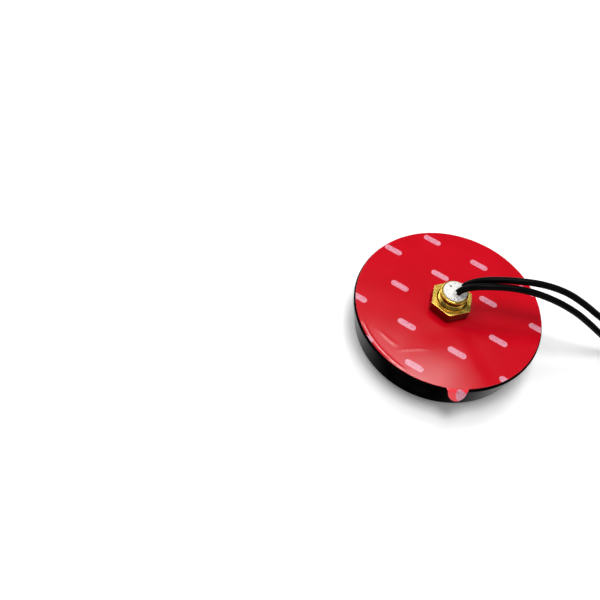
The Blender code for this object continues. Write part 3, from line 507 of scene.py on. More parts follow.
gnss_path = cable_path(GNSS_ROUTE, GNSS_TAIL_RADIUS, GNSS_TAIL_LEVEL, GNSS_PLUG_HEIGHT, 0.0)
cellular_path = cable_path(CELLULAR_ROUTE, COIL_OUTER / 2, 0.0, CELLULAR_PLUG_HEIGHT, COIL_PITCH)


def add_cable(name, path, *stands_for):
    """A cable: near the potting the guide is Y, because the path stands up there, and further on it is Z."""
    swing = ease((run_along(path) - GUIDE_START) / GUIDE_RUN)[:, None]
    guide = (1 - swing) * np.array((0.0, 1.0, 0.0)) + swing * np.array((0.0, 0.0, 1.0))
    grid, skin = tube(path, CABLE_RADIUS, CABLE_SIDES, guide)
    mesh = mesh_of(name, grid, closed=False, skin=skin.reshape(-1, 3))
    print(f"{name}: {run_along(path)[-1]:.3f} m along its middle, ends at", (path[-1] / MM).round(2))
    return add_piece(name, mesh, jacket, "cable_jacket", "antenna", *stands_for)


gnss_cord = add_cable("gnss_cord", gnss_path, "gnss_cable", "gnss_coil")
cellular_cord = add_cable("cellular_cord", cellular_path, "cellular_cable", "cellular_coil")

# %% [markdown]
# ## The moulded cup
#
# The housing is a shallow cup of black plastic, moulded in one piece: a flat crown, a small round at its
# edge, a wall that leans out towards the rim and, inside, the posts for the screws. A cone with a Bevel
# modifier would look alike from above, but a turned profile also gives the wall its thickness and the ledge
# inside. The plastic is almost black with a fine grain. A coat that grows only where the wall is seen at a
# grazing angle gives it the grey sheen at its sides.

# %% Black moulded plastic
cup_black, feed, place = start_finish("moulded_black", {"Specular IOR Level": 0.0, "Coat Roughness": 0.25})
grain = place.noise(4200.0, 2.0, 0.6)
cloud = place.noise(140.0, 3.0, 0.55)
feed("Base Color", cloud.fit(0.3, 0.7).blend((0.0010, 0.0010, 0.0012), (0.0028, 0.0028, 0.0031)))
feed("Roughness", (cloud * 0.6 + grain * 0.4).fit(0.3, 0.7, 0.36, 0.50))
feed("Normal", grain.bump(0.18, 0.03 * MM))
feed("Coat Weight", place.node("LayerWeight", (), {"Blend": 0.5}, "Facing").fit(0.66, 0.95, 0.0, 0.9))
print("moulded plastic:", len(cup_black.node_tree.nodes), "shader nodes")

# %% Cup with its posts
CUP_COLUMNS = 192
POST_COLUMNS = 28
CUP_CORNERS = [(38.0, 16.7), (40.0, 16.7), (36.81, 0.0), (0.0, 0.0), (0.0, 1.8), (34.03, 1.8), (36.4, 14.2),
               (38.0, 14.2)]
CUP_ROUNDS = np.array((0.2, 0.4, 2.48, 0.0, 0.0, 0.33, 0.15, 0.15)) * MM
COVER_POSTS = {"circle": 32.0, "angles": (45, 135, 225, 315), "outer": 2.5, "hole": 1.45, "top": 15.1}
BOARD_POSTS = {"circle": 23.0, "angles": (30, 150, 270), "outer": 2.3, "hole": 1.2, "top": 6.4}
POST_ROOT = 1.0
POST_ROUND, POST_STEPS, CUP_STEPS = 0.15 * MM, 2, 10


def post_grids(posts):
    """Upright tubes on a circle: one turned profile, moved to each angle."""
    corners = [(posts["outer"], posts["top"]), (posts["outer"], POST_ROOT), (posts["hole"], POST_ROOT),
               (posts["hole"], posts["top"])]
    upright = spin(rounded(np.array(corners) * MM, POST_ROUND, POST_STEPS), POST_COLUMNS)
    angles = np.radians(posts["angles"])
    places = posts["circle"] * MM * np.stack([np.cos(angles), np.sin(angles), 0 * angles], axis=-1)
    return [upright + spot for spot in places]


cup_grid = spin(rounded(np.array(CUP_CORNERS) * MM, CUP_ROUNDS, CUP_STEPS), CUP_COLUMNS)
cup_mesh = mesh_of("moulded_cup", cup_grid, *post_grids(COVER_POSTS), *post_grids(BOARD_POSTS))
add_piece("moulded_cup", cup_mesh, cup_black, "black_plastic", "antenna", "radome")

# %% [markdown]
# ## Foam pad and gasket
#
# Under the film lies a thin ring of black closed-cell foam with glue on both faces. Only its cut edge shows,
# as a dark line round the film, so that edge is slightly bulged and gets the cells of the foam. The rubber
# gasket under the lid is never seen, but it is soft too, so it is made the same way.

# %% Foam and rubber
foam_black, feed, place = start_finish("cut_foam", {"Specular IOR Level": 0.2})
cells = place.node("TexVoronoi", (), {"Vector": place, "Scale": 4500.0})
feed("Base Color", cells.fit(0.1, 0.6).blend((0.004, 0.004, 0.005), (0.020, 0.020, 0.022)))
feed("Roughness", cells.fit(0.0, 0.6, 0.95, 0.8))
feed("Normal", cells.bump(0.6, 0.08 * MM))
rubber, feed, place = start_finish("black_rubber_skin", {"Specular IOR Level": 0.3})
bloom = place.noise(900.0, 4.0, 0.6)
feed("Base Color", bloom.fit(0.3, 0.75).blend((0.008, 0.008, 0.009), (0.020, 0.020, 0.021)))
feed("Roughness", bloom.fit(0.2, 0.8, 0.48, 0.68))
feed("Normal", bloom.bump(0.15, 0.05 * MM))

FOAM_CORNERS = [(39.0, 17.5), (39.15, 17.15), (39.0, 16.8), (6.65, 16.8), (6.65, 17.5)]
GASKET_CORNERS = [(37.8, 15.1), (37.8, 14.3), (36.6, 14.3), (36.6, 15.1)]
FOAM_ROUND, GASKET_ROUND = 0.12 * MM, 0.3 * MM
foam_grid = spin(rounded(np.array(FOAM_CORNERS) * MM, FOAM_ROUND, 3), CUP_COLUMNS)
foam = add_piece("foam_ring", mesh_of("foam_ring", foam_grid), foam_black, "grey_foam", "antenna", "foam_pad")
gasket_grid = spin(rounded(np.array(GASKET_CORNERS) * MM, GASKET_ROUND), CUP_COLUMNS)
add_piece("gasket_ring", mesh_of("gasket_ring", gasket_grid), rubber, "black_rubber", "antenna", "rim_gasket")

# %% [markdown]
# ## The red film's finish
#
# The film that guards the glue is thin red plastic, smooth but not a mirror: where it faces a lamp a soft
# pink haze lies on the red. It carries a plain printed pattern, short slanted dashes in staggered rows, in
# pale pink ink that has missed a little here and there. The pattern is drawn by sums: the place is folded
# into one cell of the pattern, and the distance to the dash in the cell's middle decides ink or film.

# %% Red film
DASH_TURN = math.radians(24.0)
DASH_PITCH = 23.0 * MM
ROW_PITCH = 15.5 * MM
DASH_HALF = 2.7 * MM
DASH_RADIUS = 1.35 * MM
DASH_SOFT = 0.07 * MM
DASH_SHIFT = (-1.4 * MM, -4.2 * MM, 0.0)
FILM_RIM, FREE_RIM = 39.3 * MM, 39.9 * MM
FILM_RED = (0.57, 0.0012, 0.0105)
FILM_DEEP = (0.53, 0.0009, 0.0082)
FILM_TAB_PAINTED_LIGHT = (0.98, 0.045, 0.065)
FILM_PAINTED_HIGHLIGHT = (0.88, 0.36, 0.40)
INK_PINK = (0.72, 0.29, 0.38)
INK_THIN = (0.60, 0.12, 0.17)

red_film, feed, place = start_finish("red_film_skin", {"Specular IOR Level": 0.44})
turned_place = place.node("Mapping", (), {"Vector": place, "Rotation": (0.0, 0.0, DASH_TURN),
                                          "Location": DASH_SHIFT})
along, over = turned_place.axis("X"), turned_place.axis("Y")
row = along.maths("FLOOR", over / ROW_PITCH)
cell_x = along.maths("FRACT", along / DASH_PITCH + row.maths("PINGPONG", row, 1.0) * 0.5) - 0.5
cell_y = over.maths("FRACT", over / ROW_PITCH) - 0.5
past_end = along.maths("MAXIMUM", along.maths("ABSOLUTE", cell_x * DASH_PITCH) - DASH_HALF, 0.0)
beside = cell_y * ROW_PITCH
far = along.maths("SQRT", past_end * past_end + beside * beside)
ink = 1.0 - far.fit(DASH_RADIUS - DASH_SOFT, DASH_RADIUS + DASH_SOFT)
print_wear = place.noise(1500.0, 4.0, 0.65).fit(0.36, 0.52)
cloud = place.noise(55.0, 3.0, 0.55)
peel = place.noise(700.0, 2.0, 0.5)
film_colour = cloud.fit(0.3, 0.7).blend(FILM_DEEP, FILM_RED)
flat = place.node("VectorMath", {"operation": "MULTIPLY"}, {0: place, 1: (1.0, 1.0, 0.0)})
from_axis = flat.node("VectorMath", {"operation": "LENGTH"}, {0: flat}, "Value")
# painted light: past the rim the free film is a brighter red, standing in for light shining through the thin
# tab
film_colour = from_axis.fit(FILM_RIM, FREE_RIM).blend(film_colour, FILM_TAB_PAINTED_LIGHT)
# painted highlight: a pale pink line along the lip at the rim and along the crease, standing in for the light
# they catch
painted_highlight = place.node("Attribute", {"attribute_name": "skin"}, (), "Vector").axis("X")
film_colour = painted_highlight.blend(film_colour, FILM_PAINTED_HIGHLIGHT)
feed("Base Color", ink.blend(film_colour, print_wear.blend(INK_THIN, INK_PINK)))
feed("Roughness", cloud.fit(0.25, 0.75, 0.140, 0.155) + ink * 0.08)
feed("Normal", peel.bump(0.03, 0.05 * MM))
print("red film:", len(red_film.node_tree.nodes), "shader nodes")

# %% [markdown]
# ## The film
#
# A flat disc would be quick, but real film is never flat: it is pressed down under the nut, it waves a
# little over the foam, a fold runs along the rim at the lower left, and a round tab is bent down over the
# edge so that fingers can pull it. So the film is a polar grid: its outline is the rim's circle, drawn out
# to the tab's round end where the tab is, and its height is a sum of waves and folds. What lies beyond the
# rim is bent over an arc. A Solidify modifier gives the sheet its thickness.

# %% Film with its tab
FILM_TOP = 17.8 * MM
FILM_THICKNESS = 0.2 * MM
FILM_HOLE = 6.65 * MM
FINE_FROM = 33.0 * MM
COARSE_ROWS, FINE_ROWS, TAB_ROWS = 64, 32, 18
SEAT_RADIUS = 10.2 * MM
SEAT_PRESS = 0.05 * MM
SEAT_FADE, SEAT_EDGE = 6.0 * MM, 0.4 * MM
TAB_TURN = math.radians(-83.0)
TAB_HALF = 3.9 * MM
TAB_MIDDLE = 41.0 * MM
TAB_ROOT_SPREAD = math.radians(1.3)
TAB_BEND = 1.6 * MM
TAB_DROOP = math.radians(62.0)
TAB_SPAN = math.radians(8.0)
TAB_COLUMNS, RIM_COLUMNS = 80, 300
# wave length, direction in degrees, phase and height, the lengths in millimetres
FILM_WAVES = np.array([(31.0, 20.0, 0.4, 0.014), (23.0, 115.0, 1.9, 0.010), (17.0, 70.0, 4.0, 0.006),
                       (13.0, 155.0, 2.6, 0.004)])
# ends in millimetres, height and half width in millimetres, bow to the side as a share of the length
FILM_CREASE = ((-21.0, -27.6), (-5.5, -23.6), 0.022, 0.45, 0.05)
FILM_FOLDS = [FILM_CREASE, ((-28.5, -17.5), (-19.0, -24.5), 0.030, 0.8, -0.06),
              ((8.0, 24.0), (19.0, 29.0), 0.025, 0.7, 0.05)]
# the long step from the nut to the rim: ends, height, and how far it falls to the right and to the left
FILM_STEP = ((0.5, -9.5), (17.5, -39.5), 0.17, 7.0, 30.0)
FOLD_FADE = 0.3
# the lip along the rim, in degrees: where it starts and ends, and over how much it comes and goes
LIP_START, LIP_END, LIP_COMES, LIP_GOES = 203.0, 246.0, 9.0, 16.0
LIP_MIDDLE, LIP_HALF, LIP_HEIGHT = 38.15 * MM, 0.42 * MM, 0.24 * MM
DIP_START, DIP_RUN, DIP_DEPTH = 38.6 * MM, 0.6 * MM, 0.10 * MM
# the painted highlight on the lip, narrower and shorter than it, and the crease's share of the highlight and
# width
WHITE_END, WHITE_COMES = 243.0, 6.0
WHITE_MIDDLE, WHITE_HALF = 38.35 * MM, 0.30 * MM
CREASE_WHITE, CREASE_NARROW = 0.35, 0.5


def film_columns():
    """Angles round the film, close together across the tab and wider elsewhere."""
    across_tab = np.linspace(-TAB_SPAN, TAB_SPAN, TAB_COLUMNS, endpoint=False)
    elsewhere = np.linspace(TAB_SPAN, 2 * math.pi - TAB_SPAN, RIM_COLUMNS, endpoint=False)
    return TAB_TURN + np.concatenate([across_tab, elsewhere])


def tab_outline(turn):
    """Distance to the outline at an angle from the tab's middle: a circle out on the tab, whose sides ease
    into the rim at the root."""
    half_angle = math.asin(TAB_HALF / TAB_MIDDLE)
    on_tab = np.minimum(np.abs(turn), half_angle)
    past_middle = np.sqrt(np.maximum(TAB_HALF ** 2 - (TAB_MIDDLE * np.sin(on_tab)) ** 2, 0))
    drawn_out = TAB_MIDDLE * np.cos(on_tab) + past_middle
    return FILM_RIM + (drawn_out - FILM_RIM) * (1 - ease((np.abs(turn) - half_angle) / TAB_ROOT_SPREAD))


def along_and_beside(x, y, start, end):
    """Share of the way along a line, distance beside it, counted to its left, and its length."""
    start, end = np.array(start) * MM, np.array(end) * MM
    way = end - start
    length = np.linalg.norm(way)
    run = ((x - start[0]) * way[0] + (y - start[1]) * way[1]) / length ** 2
    return run, ((y - start[1]) * way[0] - (x - start[0]) * way[1]) / length, length


def fold_height(x, y, start, end, height, half_width, bow):
    """A rounded ridge along a bowed line: a bell curve of the distance beside it, faded at both ends."""
    run, beside, length = along_and_beside(x, y, start, end)
    beside = beside - bow * length * 4 * run * (1 - run)
    fade = ease(run / FOLD_FADE) * ease((1 - run) / FOLD_FADE)
    return height * MM * fade * np.exp(-(beside / (half_width * MM)) ** 2)


def step_height(x, y, start, end, height, right_fall, left_fall):
    """A step along a line, faded in at its start: it falls quickly to one side and slowly to the other."""
    run, beside, _ = along_and_beside(x, y, start, end)
    falls = (1 - ease(beside / (right_fall * MM))) * (1 - ease(-beside / (left_fall * MM)))
    return height * MM * ease(run / FOLD_FADE) * falls


def film_height(radius, angle):
    """Height above the flat film: waves, folds, the step, the lip along the rim and the press of the nut."""
    x, y = radius * np.cos(angle), radius * np.sin(angle)
    size, lean, phase, tall = FILM_WAVES.T[:, :, None, None]
    across = x * np.cos(np.radians(lean)) + y * np.sin(np.radians(lean))
    height = (tall * MM * np.sin(2 * np.pi * across / (size * MM) + phase)).sum(axis=0)
    height = height + sum(fold_height(x, y, *fold) for fold in FILM_FOLDS) + step_height(x, y, *FILM_STEP)
    turn = np.degrees(angle) % 360
    lip = ease((turn - LIP_START) / LIP_COMES) * ease((LIP_END - turn) / LIP_GOES)
    height = height + LIP_HEIGHT * lip * np.exp(-((radius - LIP_MIDDLE) / LIP_HALF) ** 2)
    height = height - DIP_DEPTH * lip * ease((radius - DIP_START) / DIP_RUN)
    seat = ease((radius - SEAT_RADIUS) / SEAT_FADE)
    return height * seat - SEAT_PRESS * (1 - ease((radius - SEAT_RADIUS) / SEAT_EDGE))


def film_painted_highlight(radius, angle):
    """Painted highlight on sharp folds, from 0 to 1: on the lip at the rim and on the thin crease."""
    x, y = radius * np.cos(angle), radius * np.sin(angle)
    turn = np.degrees(angle) % 360
    rough = 0.75 + 0.25 * np.sin(radius / (0.21 * MM) + 3 * np.sin(turn / 1.7))
    lip = ease((turn - LIP_START) / WHITE_COMES) * ease((WHITE_END - turn) / LIP_GOES)
    lip = lip * np.exp(-((radius - WHITE_MIDDLE) / WHITE_HALF) ** 2)
    start, end, height, half_width, bow = FILM_CREASE
    crease = fold_height(x, y, start, end, height, CREASE_NARROW * half_width, bow) / (height * MM)
    return rough * np.clip(lip + CREASE_WHITE * crease, 0.0, 1.0)


def film_grid():
    """Rows from the hole to the rim, then rows out along the tab, which fall together elsewhere, and the
    painted highlight at every point."""
    angle = film_columns()[None, :]
    from_tab = angle - TAB_TURN
    from_tab = from_tab - 2 * np.pi * (from_tab > np.pi)
    inner = np.concatenate([np.linspace(FILM_HOLE, FINE_FROM, COARSE_ROWS, endpoint=False),
                            np.linspace(FINE_FROM, FILM_RIM, FINE_ROWS)])
    beyond = np.linspace(0, 1, TAB_ROWS + 1)[1:, None] * (tab_outline(from_tab) - FILM_RIM)
    run = np.concatenate([np.zeros((len(inner), angle.shape[1])), beyond])
    radius = np.concatenate([np.broadcast_to(inner[:, None], (len(inner), angle.shape[1])),
                             np.full(beyond.shape, FILM_RIM)])
    bend = np.minimum(run / TAB_BEND, TAB_DROOP)
    straight = run - bend * TAB_BEND
    out = TAB_BEND * np.sin(bend) + straight * np.cos(bend)
    down = TAB_BEND * (1 - np.cos(bend)) + straight * np.sin(bend)
    height = FILM_TOP + film_height(radius, angle) - down
    grid = np.stack([radius * np.cos(angle) + out * math.cos(TAB_TURN),
                     radius * np.sin(angle) + out * math.sin(TAB_TURN), height], axis=-1)
    return grid, film_painted_highlight(radius, angle)[..., None] * (1.0, 0.0, 0.0)


film_points, film_skin = film_grid()
film_mesh = mesh_of("red_film", film_points, closed=False, skin=film_skin.reshape(-1, 3))
film = add_piece("red_film", film_mesh, red_film, "red_film", "antenna", "release_liner")
sheet = film.modifiers.new("thickness", "SOLIDIFY")
sheet.thickness = FILM_THICKNESS
sheet.offset = -1.0

# %% [markdown]
# ## Brass
#
# Stud, nut and washer are turned from brass. Cut metal has two scales: rings left by the tool, far too fine
# to model, and an even dulling where hands and flux have been. The rings come from a noise that reads only
# the distance from the axis and the height, so it runs round the piece as the tool did.

# %% Brass
BRASS_BRIGHT, BRASS_DULL, PAINTED_SHADE_BROWN = (0.95, 0.70, 0.14), (0.88, 0.60, 0.11), (0.16, 0.07, 0.02)
# heights, and then distances from the axis, between which the painted shade comes or goes
FLATS_TOP, NECK_FROM, NECK_TO = (22.65 * MM, 22.90 * MM), (20.2 * MM, 21.2 * MM), (26.8 * MM, 27.1 * MM)
FLATS_FROM, COUNTERSINK_TO = (7.3 * MM, 7.9 * MM), (6.25 * MM, 6.40 * MM)
CREST_FROM = (5.55 * MM, 5.75 * MM)


def metal_finish(name, bright, dull, rough_low, rough_high, axis_place=(0.0, 0.0, 0.0),
                 axis_turn=(0.0, 0.0, 0.0), grime_and_painted_shade=None):
    """A turned metal: rings round an axis, a slow dulling, and, where the given mask (a function of the
    distance from the axis and the height) says so, a dark brown painted shade."""
    material, feed, place = start_finish(name, {"Metallic": 1.0})
    seat = place.node("Mapping", {"vector_type": "TEXTURE"}, {"Vector": place, "Location": axis_place,
                                                              "Rotation": axis_turn})
    flat = seat.node("VectorMath", {"operation": "MULTIPLY"}, {0: seat, 1: (1.0, 1.0, 0.0)})
    radius = flat.node("VectorMath", {"operation": "LENGTH"}, {0: flat}, "Value")
    rings = radius.node("CombineXYZ", (), {0: radius, 1: seat.axis("Z")}).noise(5200.0, 2.0, 0.6)
    tarnish = place.noise(330.0, 4.0, 0.6)
    colour = tarnish.fit(0.32, 0.68).blend(dull, bright)
    # painted shade: where the mask says so, the brass goes over to dark brown, standing in for shade and dark
    # reflections
    if grime_and_painted_shade:
        colour = grime_and_painted_shade(radius, seat.axis("Z")).blend(colour, PAINTED_SHADE_BROWN)
    feed("Base Color", colour)
    feed("Roughness", (tarnish * 0.7 + rings * 0.3).fit(0.3, 0.7, rough_low, rough_high))
    feed("Normal", rings.bump(0.03, 0.01 * MM))
    return material


def nut_painted_shade(radius, height):
    """Painted shade on the six flats, from just under the faced top downwards, and in the countersink round
    the stud.
    """
    flats = (1.0 - height.fit(*FLATS_TOP)) * radius.fit(*FLATS_FROM)
    return flats + (1.0 - radius.fit(*COUNTERSINK_TO))


def stud_painted_shade(radius, height):
    """Painted shade in the neck under the potting and in the upper valleys of the thread, not on its crests.
    """
    crest = radius.fit(*CREST_FROM)
    return height.fit(*NECK_FROM) * (1.0 - height.fit(*NECK_TO)) * (1.0 - crest)


brass = metal_finish("turned_brass", BRASS_BRIGHT, BRASS_DULL, 0.14, 0.18)
nut_brass = metal_finish("nut_brass", BRASS_BRIGHT, BRASS_DULL, 0.225, 0.245, grime_and_painted_shade=nut_painted_shade)
stud_brass = metal_finish("stud_brass", BRASS_BRIGHT, BRASS_DULL, 0.14, 0.18, grime_and_painted_shade=stud_painted_shade)
print("brass mixed")

# %% [markdown]
# ## Stud, washer and nut
#
# The stud's thread could be a texture, but at this size its shadows and its outline show. It is one more
# profile: a triangle wave of (height over pitch) less (angle over a full turn), which winds up to the right
# like every common thread, cut into the turned surface. The nut is a turned ring whose radius changes with
# the angle, so that it follows a hexagon. A power norm of the six cosines (the root of the sum of their high
# powers), in place of the largest, rounds the corners, and the cone of the chamfer falls where the hexagon
# reaches past the face's circle.

# %% Thread and hexagon
EDGE_LAND = 0.06 * MM
# share of the wave that is cut off at the crest, and the share over which the flank falls
CREST_SHARE, FLANK_SHARE = 0.14, 0.72


def thread_cut(height, angle, pitch, depth):
    """Depth below the crest: a triangle wave along the axis, one pitch higher per turn, with flat tips."""
    wave = np.abs(2 * ((height / pitch - angle / (2 * np.pi)) % 1.0) - 1.0)
    return depth * np.clip((wave - CREST_SHARE) / FLANK_SHARE, 0.0, 1.0)


def hexagon(across_flats, corner_turn, columns, power=56):
    """Distance to the side: half the width over a power norm of the cosines to the six sides' directions."""
    sides = corner_turn + np.radians(30 + 60 * np.arange(6))
    lean = np.clip(np.cos(column_angles(columns)[:, None] - sides), 0.0, None)
    return across_flats / 2 / (lean ** power).sum(axis=1) ** (1 / power)


def hex_profile(reach, face_radius, slope, bore, countersink, low, high):
    """Corners of a nut's section at every angle, from the bottom of the bore outwards, up and back in."""
    flat = np.ones_like(reach)
    face = np.minimum(face_radius, reach - EDGE_LAND)
    drop = (reach - face) * math.tan(slope)
    pairs = [((bore + countersink) * flat, low * flat), (face, low * flat), (reach, low + drop),
             (reach, high - drop), (face, high * flat), ((bore + countersink) * flat, high * flat),
             (bore * flat, (high - countersink) * flat), (bore * flat, (low + countersink) * flat)]
    return np.array([np.stack(pair, axis=-1) for pair in pairs])


print("thread and hexagon ready")

# %% Stud, washer and nut
STUD_COLUMNS = 160
NUT_COLUMNS = 240
THREAD_PITCH = 1.0 * MM
THREAD_DEPTH = 0.5 * MM
THREAD_TOP = 24.7 * MM
THREAD_FOOT = 17.1 * MM
STUD_RADIUS = 5.85 * MM
STUD_CORNERS = [(5.60, 27.6), (5.85, 27.35), (5.85, 26.95), (5.50, 26.7), (5.50, 25.15), (5.85, 24.95),
                (5.85, 15.1), (8.0, 15.1), (8.0, 14.0), (3.8, 14.0), (3.8, 27.6)]
STUD_ROUNDS = np.array((0.08, 0.08, 0.1, 0.1, 0.08, 0.1, 0.1, 0.15, 0.15, 0.1, 0.08)) * MM
THREAD_AFTER = 6
THREAD_ROWS = 130
THREAD_STARTS, THREAD_STOPS = 0.25 * MM, 0.5 * MM
ON_THREAD = 0.01 * MM
ARC_STEPS = 4
# a rounded corner has the points of its arc and one row on either side
CORNER_ROWS = ARC_STEPS + 3
WASHER_CORNERS = [(7.4, 18.7), (7.4, 17.9), (6.05, 17.9), (6.05, 18.7)]
WASHER_ROUND = 0.15 * MM
NUT_ACROSS, NUT_TURN = 16.0 * MM, math.radians(26.0)
NUT_FACE, NUT_SLOPE = 8.9 * MM, math.radians(30.0)
NUT_BORE, NUT_COUNTERSINK = 5.95 * MM, 0.40 * MM
NUT_LOW, NUT_HIGH = 18.8 * MM, 23.0 * MM
NUT_ROUNDS = np.array((0.1, 0.04, 0.04, 0.04, 0.04, 0.1, 0.1, 0.1)) * MM

stud_rows = rounded(np.array(STUD_CORNERS) * MM, STUD_ROUNDS, ARC_STEPS)
thread_rows = np.linspace(THREAD_TOP, THREAD_FOOT, THREAD_ROWS)
thread_rows = np.stack([np.full_like(thread_rows, STUD_RADIUS), thread_rows], axis=-1)[:, None]
stud_rows = np.insert(stud_rows, THREAD_AFTER * CORNER_ROWS, thread_rows, axis=0)
stud_rows = np.broadcast_to(stud_rows, (len(stud_rows), STUD_COLUMNS, 2)).copy()
height = stud_rows[..., 1]
threaded = ease((THREAD_TOP - height) / THREAD_STARTS) * ease((height - THREAD_FOOT) / THREAD_STOPS)
threaded = threaded * (np.abs(stud_rows[..., 0] - STUD_RADIUS) < ON_THREAD)
stud_rows[..., 0] -= threaded * thread_cut(height, column_angles(STUD_COLUMNS), THREAD_PITCH, THREAD_DEPTH)
add_piece("brass_stud", mesh_of("brass_stud", spin(stud_rows, STUD_COLUMNS)), stud_brass, "brass", "antenna",
          "threaded_stud")

washer_grid = spin(rounded(np.array(WASHER_CORNERS) * MM, WASHER_ROUND), STUD_COLUMNS)
add_piece("brass_washer", mesh_of("brass_washer", washer_grid), brass, "brass", "washer", "lock_washer")

nut_reach = hexagon(NUT_ACROSS, NUT_TURN, NUT_COLUMNS)
nut_corners = hex_profile(nut_reach, NUT_FACE, NUT_SLOPE, NUT_BORE, NUT_COUNTERSINK, NUT_LOW, NUT_HIGH)
nut_mesh = mesh_of("brass_nut", spin(rounded(nut_corners, NUT_ROUNDS), NUT_COLUMNS))
add_piece("brass_nut", nut_mesh, nut_brass, "brass", "nut", "hex_nut")

# %% [markdown]
# ## White potting
#
# The end of the stud is closed with white compound, poured in round the cables and left as it set: domed,
# lumpy, drawn up the cables, with pits where bubbles broke. A height over a round grid is the natural form
# for that, a dome plus a fillet at each cable less a bell-shaped dent for every pit. Under the cap the same
# grid turns in and goes down into the bore. Two thin collars with ragged edges are drawn up the cables.

# %% Potting
POTTING_COLUMNS = 120
TOP_ROWS, EDGE_ROWS = 60, 6
# the compound's form, in millimetres
POTTING_RADIUS, POTTING_ROUND = 4.95, 0.25
DOME_FOOT, DOME_RISE, EDGE_FOOT = 28.25, 0.42, 27.95
UNDERSIDE = [(POTTING_RADIUS, 27.7), (4.7, 27.7), (3.6, 27.7), (3.6, 25.6), (0.0, 25.6)]
CABLE_ROOTS = [(0.35, -1.7), (2.05, 1.72)]
FILLET_SHIFT, FILLET_STRETCH = 0.15, 1.12
FILLET_RADIUS, FILLET_WIDTH, FILLET_RISE = 1.35, 0.42, 0.55
# place and width of the web in x and in y
WEB_X, WEB_Y, WEB_RISE = (2.5, 1.1), (0.1, 1.0), 0.45
DEEP_PIT = 0.24
# place, radius and depth of every pit
PITS = [(-2.0, 2.0, 0.46, 0.45), (-0.3, 3.8, 0.85, 0.12), (-3.6, -0.1, 0.80, 0.10), (-0.4, -4.2, 0.55, 0.20),
        (-1.6, -4.0, 0.45, 0.16), (4.1, -2.0, 0.50, 0.20), (-1.0, 0.6, 0.26, 0.16), (1.3, 4.0, 0.45, 0.20),
        (-2.9, 3.1, 0.30, 0.15), (0.5, -3.6, 0.50, 0.13), (1.3, -4.2, 0.50, 0.22), (2.3, -3.6, 0.42, 0.18),
        (3.1, -3.1, 0.40, 0.22)]


def potting_top(radius, angle):
    """Height of the set compound: a dome, a fillet at each cable, a web between them, lumps and pits."""
    x, y = radius * np.cos(angle), radius * np.sin(angle)
    height = DOME_FOOT + DOME_RISE * (1 - (radius / POTTING_RADIUS) ** 2)
    for root_x, root_y in CABLE_ROOTS:
        away = np.hypot((x - root_x - FILLET_SHIFT) / FILLET_STRETCH, y - root_y)
        outside = np.maximum(away, FILLET_RADIUS) - FILLET_RADIUS
        height = height + FILLET_RISE * np.exp(-(outside / FILLET_WIDTH) ** 2)
    web_x, web_y = (x - WEB_X[0]) / WEB_X[1], (y - WEB_Y[0]) / WEB_Y[1]
    height = height + WEB_RISE * np.exp(-web_x ** 2 - web_y ** 2)
    height = height + 0.05 * np.sin(2.3 * x + 0.8) * np.sin(2.9 * y - 0.4) + 0.04 * np.sin(4.7 * x - 3.1 * y)
    for pit_x, pit_y, size, depth in PITS:
        height = height - depth * np.exp(-((x - pit_x) ** 2 + (y - pit_y) ** 2) / size ** 2)
    return height


def pit_shade(radius, angle):
    """Painted shade in the pits: the sum of their bell curves, in which deeper pits count for more."""
    x, y = radius * np.cos(angle), radius * np.sin(angle)
    return sum(depth / DEEP_PIT * np.exp(-2 * ((x - pit_x) ** 2 + (y - pit_y) ** 2) / size ** 2)
               for pit_x, pit_y, size, depth in PITS)


angle = column_angles(POTTING_COLUMNS)[None, :]
top_radius = np.linspace(0.0, POTTING_RADIUS - POTTING_ROUND, TOP_ROWS)[:, None] + 0 * angle
top_height = potting_top(top_radius, angle)
edge_turn = np.linspace(0.0, np.pi / 2, EDGE_ROWS + 1)[1:, None]
edge_radius = POTTING_RADIUS - POTTING_ROUND + POTTING_ROUND * np.sin(edge_turn) + 0 * angle
edge_height = EDGE_FOOT + (top_height[-1:] - EDGE_FOOT) * np.cos(edge_turn)
under = np.broadcast_to(np.array(UNDERSIDE)[:, None, :], (len(UNDERSIDE), POTTING_COLUMNS, 2))
potting_rows = np.concatenate([np.stack([top_radius, top_height], axis=-1),
                               np.stack([edge_radius, edge_height], axis=-1), under]) * MM

white_set, feed, place = start_finish("set_compound", {"Specular IOR Level": 0.45})
chalk = place.noise(900.0, 4.0, 0.6)
# painted shade: the pits are turned nearly black, the deeper the darker
painted_pit_shade = place.node("Attribute", {"attribute_name": "skin"}, (), "Vector").axis("X").fit(0.15, 0.75)
tint = chalk.fit(0.3, 0.7).blend((0.69, 0.68, 0.655), (0.80, 0.79, 0.77))
feed("Base Color", painted_pit_shade.blend(tint, (0.05, 0.045, 0.04)))
feed("Roughness", chalk.fit(0.3, 0.7, 0.32, 0.55))
feed("Normal", chalk.bump(0.35, 0.12 * MM))

COLLAR_COLUMNS, COLLAR_ROWS = 72, 14
COLLAR_THICK, COLLAR_EDGE, COLLAR_SINK = 0.34, 0.03, 0.1
COLLAR_FOOT = 27.8 * MM
# how many points of a path are searched for the foot, and the short way ahead that gives its direction
FOOT_POINTS, AHEAD = 60, 0.2 * MM


